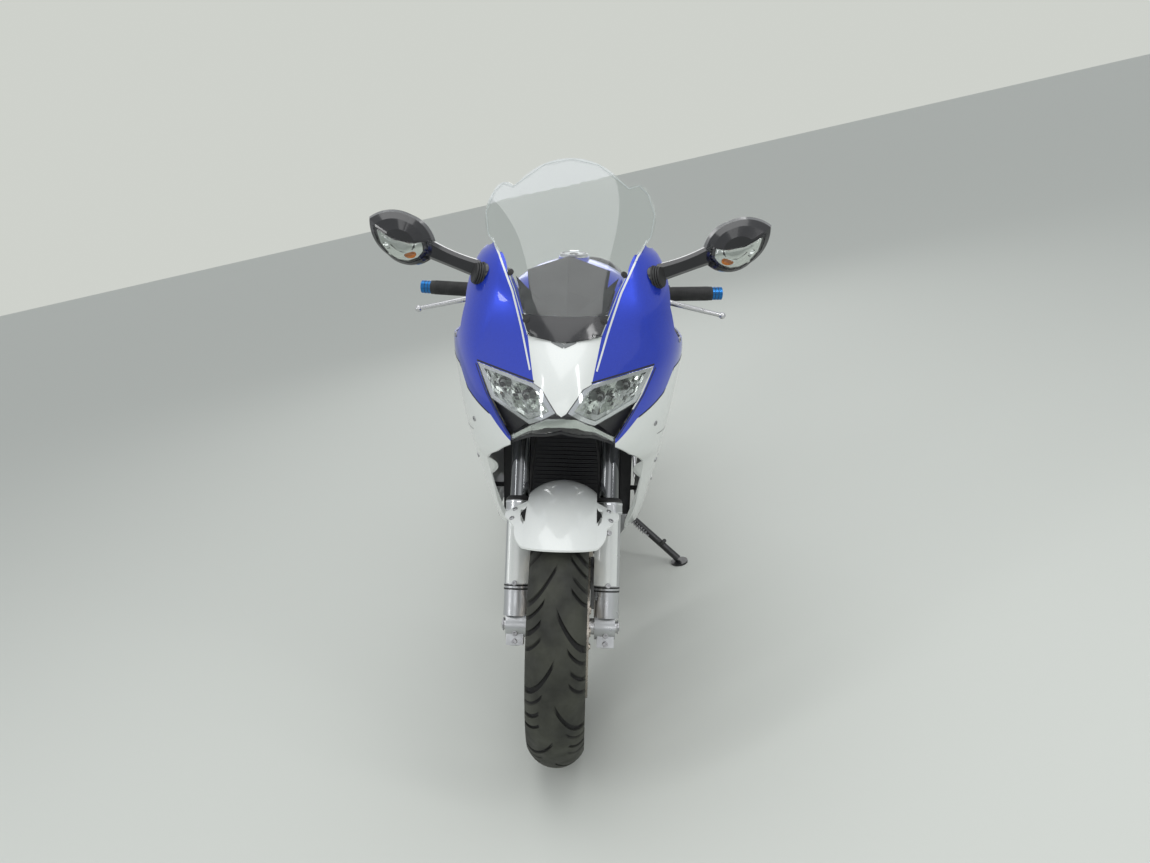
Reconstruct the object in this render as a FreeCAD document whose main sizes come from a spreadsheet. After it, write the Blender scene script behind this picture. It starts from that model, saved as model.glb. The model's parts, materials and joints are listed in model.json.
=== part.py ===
import FreeCAD, Part
import math
import os
from FreeCAD import Placement, Rotation, Vector

# A faired sport motorcycle of the 800 cubic centimetre class, leaning on its side stand.
# The machine is drawn upright: it faces -Y, +X is its left side, Z is up, the wheels stand on Z = 0,
# and Y = 0 lies halfway between the axles. Each sub-part's Placement then leans it over as it parks.

doc = FreeCAD.newDocument("sport_motorcycle")
os.makedirs("parts", exist_ok=True)

# name, value in millimetres or degrees, what it is
SIZES = [
    ("wheelbase", 1460.0, "front axle to rear axle"),
    ("lean_angle", 13.5, "lean to the left on the side stand"),
    ("rake_angle", 25.5, "steering axis back from the vertical"),
    ("trail_length", 95.0, "steering axis ahead of the front contact, on the ground"),
    ("running_gap", 0.3, "clearance between pieces that move or touch"),
    ("front_tyre_radius", 300.0, "front tyre, outside"),
    ("front_tyre_width", 120.0, "front tyre, across"),
    ("front_crown_rise", 38.0, "height of the front tread's arc"),
    ("rear_tyre_radius", 315.0, "rear tyre, outside"),
    ("rear_tyre_width", 180.0, "rear tyre, across"),
    ("rear_crown_rise", 48.0, "height of the rear tread's arc"),
    ("bead_radius", 218.0, "rim at the tyre bead"),
    ("flange_height", 12.0, "rim flange above the bead"),
    ("flange_width", 4.0, "thickness of a rim flange"),
    ("front_rim_width", 101.0, "front rim over its flanges"),
    ("rear_rim_width", 152.0, "rear rim over its flanges"),
    ("spoke_count", 5.0, "forked spokes in each wheel"),
    ("front_spoke_width", 26.0, "front spoke along the axle"),
    ("rear_spoke_width", 34.0, "rear spoke along the axle"),
    ("front_hub_radius", 34.0, "front hub, outside"),
    ("front_hub_width", 96.0, "front hub along the axle"),
    ("front_axle_radius", 12.5, "front axle"),
    ("fork_half_spacing", 102.0, "fork leg from the middle"),
    ("stanchion_radius", 21.5, "chromed fork tube"),
    ("slider_radius", 28.0, "lower fork leg"),
    ("slider_top", 590.0, "top of the lower leg, along the steering axis from the ground"),
    ("fork_top", 1062.0, "top of the fork tube, along the steering axis from the ground"),
    ("lower_yoke_place", 850.0, "lower yoke along the steering axis from the ground"),
    ("upper_yoke_place", 1045.0, "upper yoke along the steering axis from the ground"),
    ("yoke_thickness", 26.0, "each yoke along the steering axis"),
    ("clamp_radius", 31.0, "yoke eye round a fork tube"),
    ("stem_radius", 15.0, "steering stem"),
    ("stem_bore_radius", 9.0, "open bore down the steering stem"),
    ("head_radius", 32.0, "head tube, outside"),
    ("front_disc_radius", 155.0, "front brake disc"),
    ("front_disc_place", 62.0, "front brake disc from the middle"),
    ("disc_thickness", 4.5, "brake discs"),
    ("rear_disc_radius", 128.0, "rear brake disc"),
    ("rear_disc_place", 92.0, "rear brake disc from the middle"),
    ("fender_clearance", 24.0, "front fender over the tyre"),
    ("shell_thickness", 3.5, "moulded panels"),
    ("screen_thickness", 4.0, "windscreen"),
    ("grip_radius", 16.5, "handlebar grip"),
    ("bar_radius", 11.0, "handlebar tube"),
    ("bar_half_width", 360.0, "handlebar end from the middle"),
    ("bar_height", 992.0, "handlebar end above the ground"),
    ("mirror_half_width", 427.0, "mirror tip from the middle"),
    ("swingarm_pivot_height", 400.0, "swingarm pivot above the ground"),
    ("swingarm_pivot_back", 160.0, "swingarm pivot behind the middle of the wheelbase"),
    ("rear_sprocket_place", 168.0, "chain line from the middle"),
    ("chain_pitch", 15.875, "from pin to pin"),
    ("rear_teeth", 43.0, "rear sprocket"),
    ("front_teeth", 17.0, "gearbox sprocket"),
    ("chain_width", 20.0, "chain over its outer plates"),
    ("chain_height", 15.0, "chain plates"),
    ("hub_bore_radius", 14.0, "paddock stand bore through the rear hub"),
    ("rear_hub_radius", 62.0, "rear hub"),
    ("seat_height", 800.0, "rider's seat above the ground"),
    ("stand_pivot_height", 250.0, "side stand pivot above the ground"),
    ("stand_pivot_side", 128.0, "side stand pivot from the middle"),
    ("stand_foot_side", 345.0, "side stand foot from the middle"),
    ("stand_tube_radius", 11.0, "side stand leg"),
    ("steering_lock", 28.0, "steering each way"),
    ("silencer_length", 420.0, "silencer"),
    ("radiator_width", 320.0, "radiator core and tanks"),
]

sheet = doc.addObject("Spreadsheet::Sheet", "Sizes")
for row, (name, value, note) in enumerate(SIZES, start=1):
    sheet.set(f"A{row}", name)
    sheet.set(f"B{row}", str(value))
    sheet.set(f"C{row}", note)
    sheet.setAlias(f"B{row}", name)
doc.recompute()


def size(name):
    """The value of a named cell of the sheet."""
    return float(sheet.get(name))


GAP = size("running_gap")
FRONT = -size("wheelbase") / 2
REAR = size("wheelbase") / 2
RAKE = math.radians(size("rake_angle"))
FORK_OFFSET = size("front_tyre_radius") * math.sin(RAKE) - size("trail_length") * math.cos(RAKE)
UP_FORK = Vector(0, math.sin(RAKE), math.cos(RAKE))
AHEAD_OF_FORK = Vector(0, -math.cos(RAKE), math.sin(RAKE))
ACROSS = Vector(1, 0, 0)
FRONT_AXLE = Vector(0, FRONT, size("front_tyre_radius"))
REAR_AXLE = Vector(0, REAR, size("rear_tyre_radius"))
PARTS = {}
VIA = "via"


def keep(label, item, place=Placement()):
    """Names a finished sub-part and notes where it sits on the upright machine."""
    item.Label = label
    PARTS[label] = (item, place)
    return item


def feature(label, shape, place=Placement()):
    """A sub-part whose form is worked out here from the sheet's sizes."""
    item = doc.addObject("Part::Feature", label)
    item.Shape = Part.makeCompound(shape.Solids)
    return keep(label, item, place)


def curves(path, place_point):
    """Lines between the points of a closed path, or an arc where a point marked VIA lies between."""
    ring = list(path) + [path[0]]
    found = []
    step = 0
    while step < len(path):
        start, after = ring[step], ring[step + 1]
        if len(after) == 3:
            end = ring[step + 2]
            found.append(Part.Arc(place_point(start), place_point(after), place_point(end)))
            step += 2
        else:
            found.append(Part.LineSegment(place_point(start), place_point(after)))
            step += 1
    return found


def wire(path, place_point):
    """A closed wire from a path."""
    return Part.Wire([curve.toShape() for curve in curves(path, place_point)])


def side_prism(path, low, high):
    """A path of (y, z) points, extruded from x = low to x = high."""
    return Part.Face(wire(path, lambda p: Vector(low, p[0], p[1]))).extrude(Vector(high - low, 0, 0))


def front_prism(path, low, high):
    """A path of (x, z) points, extruded from y = low to y = high."""
    return Part.Face(wire(path, lambda p: Vector(p[0], low, p[1]))).extrude(Vector(0, high - low, 0))


def plan_prism(path, low, high):
    """A path of (x, y) points, extruded from z = low to z = high."""
    return Part.Face(wire(path, lambda p: Vector(p[0], p[1], low))).extrude(Vector(0, 0, high - low))


def mirrored(shape):
    """The same form on the other side of the machine."""
    return shape.mirror(Vector(0, 0, 0), ACROSS)


def both(shape):
    """The form and its mirror image."""
    return [shape, mirrored(shape)]


def fused(shapes):
    """One form made of several that meet or overlap."""
    shapes = list(shapes)
    return shapes[0].multiFuse(shapes[1:]).removeSplitter() if len(shapes) > 1 else shapes[0]


def rod(start, end, radius):
    """A round bar between two points."""
    along = end - start
    return Part.makeCylinder(radius, along.Length, start, along)


def taper(start, end, radius, end_radius):
    """A round bar that narrows."""
    along = end - start
    return Part.makeCone(radius, end_radius, along.Length, start, along)


def block(low, high):
    """A box between two corners."""
    low, high = Vector(*low), Vector(*high)
    edge = high - low
    return Part.makeBox(edge.x, edge.y, edge.z, low)


def route(points, radius_share=0.45):
    """A wire of straight runs joined by tangent arcs as large as the runs allow."""
    edges = []
    radii = []
    last = points[0]
    for before, corner, after in zip(points, points[1:], points[2:]):
        back = before - corner
        ahead = after - corner
        turn = math.pi - back.getAngle(ahead)
        run = min(back.Length, ahead.Length) * radius_share
        radius = run / math.tan(turn / 2)
        back.normalize()
        ahead.normalize()
        inward = back + ahead
        inward.normalize()
        entry = corner + back * run
        leave = corner + ahead * run
        centre = corner + inward * (radius / math.cos(turn / 2))
        middle = centre - inward * radius
        edges.append(Part.LineSegment(last, entry).toShape())
        edges.append(Part.Arc(entry, middle, leave).toShape())
        radii.append(radius)
        last = leave
    edges.append(Part.LineSegment(last, points[-1]).toShape())
    return Part.Wire(edges), radii


def pipe(points, radius, name=""):
    """A round bar along a route; the bend radii are printed for the record."""
    points = [Vector(*p) for p in points]
    path, radii = route(points)
    start = path.Edges[0]
    direction = start.tangentAt(start.FirstParameter)
    ring = Part.Wire(Part.makeCircle(radius, points[0], direction))
    bar = path.makePipeShell([ring], True, True)
    if name:
        print(f"{name}: bends", [round(r) for r in radii])
    return bar


def fork_point(along, side=0.0, ahead=0.0):
    """A point placed along the steering axis from the ground, to the side and ahead of it."""
    ground = Vector(0, FRONT - size("trail_length"), 0)
    return ground + UP_FORK * along + AHEAD_OF_FORK * ahead + ACROSS * side


# Bodies of the document

def origin_plane(body, role):
    return next(item for item in body.Origin.OriginFeatures if item.Role == role)


def draw(body, role, name, paths):
    """A sketch on one of the body's own origin planes."""
    sketch = body.newObject("Sketcher::SketchObject", name)
    sketch.AttachmentSupport = (origin_plane(body, role), "")
    sketch.MapMode = "FlatFace"
    for path in paths:
        for curve in curves(path, lambda p: Vector(p[0], p[1], 0)):
            sketch.addGeometry(curve, False)
    return sketch


def turned(label, name, path):
    """A new body turned about the X axis from a path of (x, radius) points."""
    body = doc.addObject("PartDesign::Body", label)
    sketch = draw(body, "XZ_Plane", name + "Section", [path])
    turn = body.newObject("PartDesign::Revolution", name)
    turn.Profile = sketch
    turn.ReferenceAxis = (sketch, ["H_Axis"])
    turn.Angle = 360
    sketch.Visibility = False
    body.Tip = turn
    return body


def padded(body, name, paths, depth):
    """Adds a pad, even about the YZ plane; depth is an expression of the sheet."""
    sketch = draw(body, "YZ_Plane", name + "Outline", paths)
    pad = body.newObject("PartDesign::Pad", name)
    pad.Profile = sketch
    pad.Midplane = True
    pad.Length = 10
    pad.setExpression("Length", depth)
    body.Tip = pad
    return pad


def repeated(body, item, count):
    """Repeats a feature round the X axis."""
    pattern = body.newObject("PartDesign::PolarPattern", item.Name + "Pattern")
    pattern.Originals = [item]
    pattern.Axis = (origin_plane(body, "X_Axis"), [""])
    pattern.Angle = 360
    pattern.Occurrences = int(size(count))
    pattern.setExpression("Occurrences", "Sizes." + count)
    body.Tip = pattern
    return pattern


# Wheels

def tyre(label, radius, width, rise, rim_width, axle):
    """A tyre with a round tread, seated on the rim between its flanges."""
    bead = rim_width / 2 - size("flange_width") - GAP
    seat = size("bead_radius") + GAP
    shoulder = radius - rise
    lip = seat + size("flange_height") + 1
    side = bead + 0.62 * (width / 2 - bead)
    bulge = (side, (lip + shoulder) / 2 - 1, VIA)
    half_path = [(bead, seat), (bead, lip), bulge, (width / 2, shoulder)]
    path = half_path + [(0, radius, VIA)] + [(-p[0],) + tuple(p[1:]) for p in reversed(half_path)]
    return keep(label, turned(label, label + "_Turn", path), Placement(axle, Rotation()))


def rim(label, rim_width, hub_radius, hub_ends, bore, spoke_width, axle):
    """A cast wheel: a dropped rim, a hub between its two ends and forked spokes."""
    half = rim_width / 2
    bead = size("bead_radius")
    lip = bead + size("flange_height")
    inner = half - size("flange_width")
    well = bead - 20
    barrel = [(half, lip), (inner, lip), (inner, bead), (-inner, bead), (-inner, lip), (-half, lip),
              (-half, bead - 7), (-inner + 8, bead - 9), (-inner + 20, well), (inner - 20, well),
              (inner - 8, bead - 9), (half, bead - 7)]
    body = turned(label, label + "_Barrel", barrel)
    low, high, seat_radius = hub_ends
    hub_path = [(low, bore), (low, hub_radius), (high / 2, hub_radius), (high, seat_radius), (high, bore)]
    spoke = [(-17, hub_radius - 6), (-12, 0.50 * well), (-0.31 * well, 0.965 * well),
             (-0.22 * well, 0.99 * well), (0, 0.62 * well), (0.22 * well, 0.99 * well),
             (0.31 * well, 0.965 * well), (12, 0.50 * well), (17, hub_radius - 6)]
    spokes = padded(body, label + "_Spoke", [spoke], "Sizes." + spoke_width)
    repeated(body, spokes, "spoke_count")
    hub_sketch = draw(body, "XZ_Plane", label + "_HubSection", [hub_path])
    hub = body.newObject("PartDesign::Revolution", label + "_Hub")
    hub.Profile = hub_sketch
    hub.ReferenceAxis = (hub_sketch, ["H_Axis"])
    hub.Angle = 360
    body.Tip = hub
    return keep(label, body, Placement(axle, Rotation()))


def disc(radius, ring_width, hub_radius, hub_hole, arm_count):
    """A brake disc: the braking ring, its arms and the carrier that bolts to the hub."""
    ring_low = radius - ring_width
    ring = Part.makeCylinder(radius, size("disc_thickness"), Vector(), ACROSS)
    ring = ring.cut(Part.makeCylinder(ring_low, size("disc_thickness"), Vector(), ACROSS))
    carrier = Part.makeCylinder(hub_radius, size("disc_thickness"), Vector(), ACROSS)
    carrier = carrier.cut(Part.makeCylinder(hub_hole, size("disc_thickness"), Vector(), ACROSS))
    arms = []
    for number in range(arm_count):
        arm = block((0, -6, hub_radius - 3), (size("disc_thickness"), 6, ring_low + 3))
        arm.rotate(Vector(), ACROSS, 360.0 * number / arm_count)
        arms.append(arm)
    return fused([ring, carrier] + arms)


def wheels():
    front_rim_width = size("front_rim_width")
    tyre("front_tyre", size("front_tyre_radius"), size("front_tyre_width"), size("front_crown_rise"),
         front_rim_width, FRONT_AXLE)
    half_hub = size("front_hub_width") / 2
    hub_radius = size("front_hub_radius")
    rim("front_rim", front_rim_width, hub_radius, (-half_hub, half_hub, hub_radius - 2),
        size("front_axle_radius") + GAP, "front_spoke_width", FRONT_AXLE)
    hole = size("front_axle_radius") + 6
    inner_face = size("front_disc_place") - size("disc_thickness") / 2
    front_disc = disc(size("front_disc_radius"), 34, 58, hole, 8)
    front_disc.translate(Vector(inner_face, 0, 0))
    spacer = Part.makeCylinder(30, inner_face - half_hub, Vector(half_hub, 0, 0), ACROSS)
    spacer = spacer.cut(Part.makeCylinder(hole, inner_face - half_hub, Vector(half_hub, 0, 0), ACROSS))
    front_disc = front_disc.fuse(spacer)
    feature("front_discs", Part.makeCompound(both(front_disc)), Placement(FRONT_AXLE, Rotation()))
    tyre("rear_tyre", size("rear_tyre_radius"), size("rear_tyre_width"), size("rear_crown_rise"),
         size("rear_rim_width"), REAR_AXLE)
    disc_face = size("rear_disc_place") - size("disc_thickness") / 2
    hub_ends = (-size("rear_spoke_width"), disc_face, 48)
    rim("rear_rim", size("rear_rim_width"), size("rear_hub_radius"), hub_ends, size("hub_bore_radius"),
        "rear_spoke_width", REAR_AXLE)


def rear_hub_pieces():
    """The rear disc, and the sprocket on its carrier shaft outboard of the swingarm."""
    thick = size("disc_thickness")
    rear_disc = disc(size("rear_disc_radius"), 34, 56, 20, 6)
    rear_disc.translate(Vector(size("rear_disc_place") - thick / 2, 0, 0))
    feature("rear_disc", rear_disc, Placement(REAR_AXLE, Rotation()))
    pitch_radius = size("chain_pitch") / 2 / math.sin(math.pi / size("rear_teeth"))
    tip = pitch_radius - size("chain_height") / 2 - 1
    root = tip - 6
    step = 2 * math.pi / size("rear_teeth")
    outline = []
    for number in range(int(size("rear_teeth"))):
        for share, radius in ((-0.34, root), (-0.12, tip), (0.12, tip), (0.34, root)):
            turn = (number + share) * step
            outline.append((radius * math.cos(turn), radius * math.sin(turn)))
    body = doc.addObject("PartDesign::Body", "rear_sprocket")
    bore = size("hub_bore_radius")
    hole = [(bore, 0), (0, bore, VIA), (-bore, 0), (0, -bore, VIA)]
    padded(body, "SprocketPlate", [outline, hole], "Sizes.disc_thickness")
    window_path = [(48, 26), (74, 34), (84, 0, VIA), (74, -34), (48, -26), (54.6, 0, VIA)]
    window = draw(body, "YZ_Plane", "SprocketWindow", [window_path])
    pocket = body.newObject("PartDesign::Pocket", "SprocketWindows")
    pocket.Profile = window
    pocket.Type = 1
    pocket.Midplane = True
    body.Tip = pocket
    repeated(body, pocket, "spoke_count")
    shaft_length = size("rear_sprocket_place") - size("rear_disc_place")
    shaft = draw(body, "XZ_Plane", "CarrierSection",
                 [[(-shaft_length + thick / 2, bore), (-shaft_length + thick / 2, 29), (-8, 29), (-2, 44),
                   (9, 44), (9, bore)]])
    carrier = body.newObject("PartDesign::Revolution", "Carrier")
    carrier.Profile = shaft
    carrier.ReferenceAxis = (shaft, ["H_Axis"])
    carrier.Angle = 360
    body.Tip = carrier
    place = REAR_AXLE + ACROSS * size("rear_sprocket_place")
    keep("rear_sprocket", body, Placement(place, Rotation()))


# Steering

STEER = Placement(Vector(0, FRONT - size("trail_length"), 0), Rotation(ACROSS, -size("rake_angle")))
AXLE_ALONG = size("trail_length") * math.sin(RAKE) + size("front_tyre_radius") * math.cos(RAKE)
LEG_SIDE = size("fork_half_spacing")


def fork_legs():
    """Both legs, each a chromed tube in a lower leg with its axle eye and seal collar."""
    slide = size("slider_radius")
    top = size("slider_top")
    x, y, z = LEG_SIDE, -FORK_OFFSET, AXLE_ALONG
    tube = Part.makeCylinder(size("stanchion_radius"), size("fork_top") - top + 30, Vector(x, y, top - 30))
    lower = Part.makeCylinder(slide, top - z - 20, Vector(x, y, z + 20))
    collar = Part.makeCylinder(slide + 3, 26, Vector(x, y, top - 26))
    eye = Part.makeCylinder(slide, 46, Vector(x - 26, y, z), ACROSS)
    foot = block((x - 20, y - 20, z - 44), (x + 18, y + 20, z + 30))
    lug = block((x - 26, y + 10, z + 76), (x + 2, y + 66, z + 112))
    leg = fused([tube, lower, collar, eye, foot, lug])
    leg = leg.cut(Part.makeCylinder(size("front_axle_radius") + GAP, 80, Vector(x - 40, y, z), ACROSS))
    feature("fork_legs", Part.makeCompound(both(leg)), STEER)
    return leg


def front_axle():
    """The hollow wheel spindle with its collars beside the discs."""
    outer = size("front_axle_radius")
    half = LEG_SIDE + 24
    spindle = Part.makeCylinder(outer, 2 * half, Vector(-half, 0, 0), ACROSS)
    inside = size("front_disc_place") + size("disc_thickness") / 2 + GAP
    collar = Part.makeCylinder(18, LEG_SIDE - 26 - GAP - inside, Vector(inside, 0, 0), ACROSS)
    spindle = fused([spindle] + both(collar))
    spindle = spindle.cut(Part.makeCylinder(8, 2 * half, Vector(-half, 0, 0), ACROSS))
    feature("front_axle", spindle, Placement(FRONT_AXLE, Rotation()))


def yokes():
    """The two fork clamps on their stem: a body drawn square to the steering axis."""
    body = doc.addObject("PartDesign::Body", "yokes")
    eye = size("clamp_radius")
    thick = size("yoke_thickness")
    middle = -FORK_OFFSET
    shape = [(-LEG_SIDE, middle - eye), (-40, middle - 18), (40, middle - 18), (LEG_SIDE, middle - eye),
             (LEG_SIDE + eye, middle, VIA), (LEG_SIDE, middle + eye), (30, 24), (0, 36, VIA), (-30, 24),
             (-LEG_SIDE, middle + eye), (-LEG_SIDE - eye, middle, VIA)]
    for name, cell in (("LowerYoke", "lower_yoke_place"), ("UpperYoke", "upper_yoke_place")):
        sketch = draw(body, "XY_Plane", name + "Outline", [shape])
        sketch.AttachmentOffset = Placement(Vector(0, 0, size(cell) - thick / 2), Rotation())
        sketch.setExpression("AttachmentOffset.Base.z", f"Sizes.{cell} - Sizes.yoke_thickness / 2")
        pad = body.newObject("PartDesign::Pad", name)
        pad.Profile = sketch
        pad.Length = thick
        pad.setExpression("Length", "Sizes.yoke_thickness")
        body.Tip = pad
        if name == "LowerYoke":
            stem_sketch = body.newObject("Sketcher::SketchObject", "StemOutline")
            stem_sketch.AttachmentSupport = (origin_plane(body, "XY_Plane"), "")
            stem_sketch.MapMode = "FlatFace"
            stem_sketch.AttachmentOffset = Placement(Vector(0, 0, size(cell)), Rotation())
            stem_sketch.addGeometry(Part.Circle(Vector(), Vector(0, 0, 1), size("stem_radius")), False)
            stem = body.newObject("PartDesign::Pad", "Stem")
            stem.Profile = stem_sketch
            stem.Length = 190
            stem.setExpression("Length", "Sizes.upper_yoke_place - Sizes.lower_yoke_place")
            body.Tip = stem
    holes = body.newObject("Sketcher::SketchObject", "ClampBores")
    holes.AttachmentSupport = (origin_plane(body, "XY_Plane"), "")
    holes.MapMode = "FlatFace"
    for side in (-1, 1):
        holes.addGeometry(Part.Circle(Vector(side * LEG_SIDE, middle, 0), Vector(0, 0, 1),
                                      size("stanchion_radius") + GAP), False)
    bore = body.newObject("PartDesign::Pocket", "ClampBore")
    bore.Profile = holes
    bore.Type = 1
    bore.Reversed = True
    stem_bore = body.newObject("Sketcher::SketchObject", "StemBoreOutline")
    stem_bore.AttachmentSupport = (origin_plane(body, "XY_Plane"), "")
    stem_bore.MapMode = "FlatFace"
    stem_bore.addGeometry(Part.Circle(Vector(), Vector(0, 0, 1), size("stem_bore_radius")), False)
    hollow = body.newObject("PartDesign::Pocket", "StemBore")
    hollow.Profile = stem_bore
    hollow.Type = 1
    hollow.Reversed = True
    body.Tip = hollow
    keep("yokes", body, STEER)


def bar_line():
    """Where a handlebar starts on its riser and where it ends, upright machine."""
    root = fork_point(size("upper_yoke_place") + 40, LEG_SIDE + 6, FORK_OFFSET - 20)
    end = Vector(size("bar_half_width"), FRONT + 390, size("bar_height"))
    return root, end


def handlebars():
    """Cast risers clamped to the fork tops, the bars, grips and end weights."""
    root, end = bar_line()
    along = (end - root)
    along.normalize()
    radius = size("bar_radius")
    bar = rod(root, end, radius)
    clamp = Part.makeCylinder(size("clamp_radius") - 4, 22,
                              fork_point(size("upper_yoke_place") + size("yoke_thickness") / 2 + GAP,
                                         LEG_SIDE, FORK_OFFSET), UP_FORK)
    riser = rod(fork_point(size("upper_yoke_place") + 26, LEG_SIDE, FORK_OFFSET - 14), root + along * 12, 15)
    bore = Part.makeCylinder(size("stanchion_radius") + GAP, 90,
                             fork_point(size("upper_yoke_place") - 20, LEG_SIDE, FORK_OFFSET), UP_FORK)
    bar = fused([bar, clamp, riser]).cut(bore)
    grip_start = root + along * 128
    grip_end = end - along * 22
    bar = bar.cut(rod(end - along * 5, end + along * 30, radius * 3))
    feature("handlebars", Part.makeCompound(both(bar)))
    grip = rod(grip_start, grip_end, size("grip_radius"))
    flange = rod(grip_start - along * 4, grip_start, size("grip_radius") + 5)
    switch = rod(grip_start - along * 46, grip_start - along * 5, size("grip_radius") + 4)
    hole = rod(root - along * 30, end + along * 30, radius + 0.05)
    grips = fused([grip, flange]).cut(hole)
    switch = switch.cut(hole)
    feature("grips", Part.makeCompound(both(grips) + both(switch)))
    weight = rod(grip_end + along * GAP, grip_end + along * 24, size("grip_radius") - 1)
    weight = weight.cut(hole.common(rod(root, end - along * 4.7, 40)))
    feature("bar_ends", Part.makeCompound(both(weight)))


def levers():
    """Clutch and brake levers in their perches, each with its reservoir."""
    root, end = bar_line()
    along = end - root
    along.normalize()
    radius = size("bar_radius")
    perch_middle = root + along * 62
    ahead = Vector(0, -1, -0.1)
    ahead.normalize()
    ring = rod(perch_middle - along * 11, perch_middle + along * 11, radius + 8)
    arm = rod(perch_middle + ahead * 8, perch_middle + ahead * 34, 11)
    ring = ring.cut(rod(root - along * 30, end, radius + 0.05))
    arm = arm.cut(rod(root - along * 30, end, radius + 6))
    start = perch_middle + ahead * 38
    tip = Vector(size("bar_half_width") - 3, FRONT + 310, size("bar_height") - 39)
    bend = start + (tip - start) * 0.35 + Vector(0, -10, 6)
    blade = fused([taper(start, bend, 9, 6.5), taper(bend, tip, 6.5, 5), Part.makeSphere(8, tip),
                   Part.makeSphere(6.5, bend), rod(start - along * 12, start + along * 4, 9)])
    cup_foot = perch_middle + ahead * 26 + Vector(-14, 0, 6)
    cup = fused([rod(cup_foot, cup_foot + Vector(0, 0, 24), 7), rod(cup_foot + Vector(0, 0, 20),
                                                                     cup_foot + Vector(0, 0, 50), 19)])
    feature("levers", Part.makeCompound(both(fused([ring, arm, blade, cup]))))


def front_fender(leg):
    """A domed guard over the tyre, held by the legs, with ears that run down ahead of them."""
    inner = size("front_tyre_radius") + size("fender_clearance")
    wall = size("shell_thickness")
    outer = inner + wall
    section = [(-124, inner - 50), (-76, inner - 26), (0, outer, VIA), (76, inner - 26), (124, inner - 50),
               (124, inner - 50 - wall), (76, inner - 26 - wall), (0, inner, VIA), (-76, inner - 26 - wall),
               (-124, inner - 50 - wall)]
    face = Part.Face(wire(section, lambda p: Vector(p[0], -p[1], 0)))
    start = 56.0
    shell = face.revolve(Vector(), ACROSS, -(152.0 - start))
    shell.rotate(Vector(), ACROSS, -start)
    outline = [(-74, 330), (-74, 8), (-122, 2), (-122, -18), (-96, -78), (0, -178, VIA), (96, -78),
               (122, -18), (122, 2), (74, 8), (74, 330)]
    shell = shell.common(plan_prism(outline, 0, 400))
    vent = plan_prism([(77, -26), (88, -20), (84, -66), (77, -84)], 0, 400)
    for piece in both(vent):
        shell = shell.cut(piece)
    shell.translate(FRONT_AXLE)
    steer_back = STEER.inverse()
    shell.transformShape(steer_back.toMatrix())
    around = size("slider_radius") + 6
    x, y, z = LEG_SIDE, -FORK_OFFSET, AXLE_ALONG
    guard = Part.makeCylinder(around + wall, 236, Vector(x, y, z + 92))
    guard = guard.cut(Part.makeCylinder(around, 236, Vector(x, y, z + 92)))
    guard = guard.common(block((x - 30, y - 60, z + 80), (x + 21, y - 14, z + 340)))
    bracket = block((x - 35, y - 14, z + 226), (x - 26, y + 14, z + 297)).cut(leg)
    feature("front_fender", fused([shell] + both(guard) + both(bracket)), STEER)


def front_calipers(leg):
    """Two calipers behind the legs, each round its disc and seated on the leg's lug."""
    line = size("front_disc_place")
    half = size("disc_thickness") / 2 + 1.5
    body = block((line - 30, 98, -52), (line + 26, 168, 52))
    slot = block((line - half, 90, -60), (line + half, size("front_disc_radius") + 5, 60))
    hollow = Part.makeCylinder(64, 120, Vector(line - 60, 30, 0), ACROSS)
    hollow = hollow.common(block((0, 0, -80), (200, 100, 80)))
    body = body.cut(slot).cut(hollow)
    body.rotate(Vector(), ACROSS, 18)
    body.translate(FRONT_AXLE)
    body.transformShape(STEER.inverse().toMatrix())
    body = body.cut(leg)
    feature("front_calipers", Part.makeCompound(both(body)), STEER)
    return body


def brake_hoses(caliper):
    """The hoses from the steering head down to both front calipers, held all the way."""
    top = size("lower_yoke_place") - size("yoke_thickness") / 2
    foot = AXLE_ALONG + 124
    y = -FORK_OFFSET
    line = [(52, y + 26, top), (66, y + 40, top - 60), (80, y + 50, top - 150), (83, y + 56, top - 260),
            (80, y + 62, foot + 80), (74, y + 63, foot)]
    above = block((0, y, top), (LEG_SIDE, y + 60, top + 20))
    hose = pipe(line, 4, "brake hoses").cut(caliper).cut(above)
    feature("brake_hoses", Part.makeCompound(both(hose)), STEER)


# Fairing: one skin, from which every panel is cut

# height, then how far behind the front axle (ahead is negative) and how far out each point lies:
# nose, nose edge out, nose edge, shoulder out, shoulder, side out, side, tail out, tail
SKIN = [
    (1152, 152, 58, 158, 132, 178, 168, 222, 176, 430),
    (1110, 112, 60, 118, 140, 140, 188, 205, 196, 430),
    (1040, 40, 60, 48, 145, 85, 220, 170, 230, 430),
    (960, -35, 70, -12, 168, 72, 243, 170, 250, 480),
    (890, -95, 57, -70, 185, 62, 258, 210, 246, 610),
    (830, -120, 57, -95, 166, 25, 250, 210, 240, 610),
    (780, -112, 60, -82, 146, 4, 240, 190, 232, 620),
    (735, -64, 60, -50, 112, -22, 232, 190, 226, 630),
    (690, -10, 60, -5, 145, 42, 228, 230, 218, 650),
    (640, 90, 60, 95, 178, 150, 226, 290, 212, 670),
    (540, 204, 60, 210, 170, 232, 215, 370, 205, 685),
    (400, 300, 60, 305, 150, 330, 198, 470, 188, 700),
    (300, 390, 60, 395, 146, 412, 172, 530, 165, 710),
    (235, 425, 50, 430, 96, 440, 128, 545, 122, 720),
]
NOSE_SEAM = [(75, 968), (57, 884), (40, 878), (9, 836)]
SCREEN_MIDDLE = 1130
SEAM = [(-200, 740), (-30, 742), (10, 790), (90, 826), (130, 868), (210, 880), (580, 800)]


def behind(path):
    """A side outline of (behind the front axle, height) points, in the machine's own Y."""
    return [(FRONT + p[0],) + tuple(p[1:]) for p in path]


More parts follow.
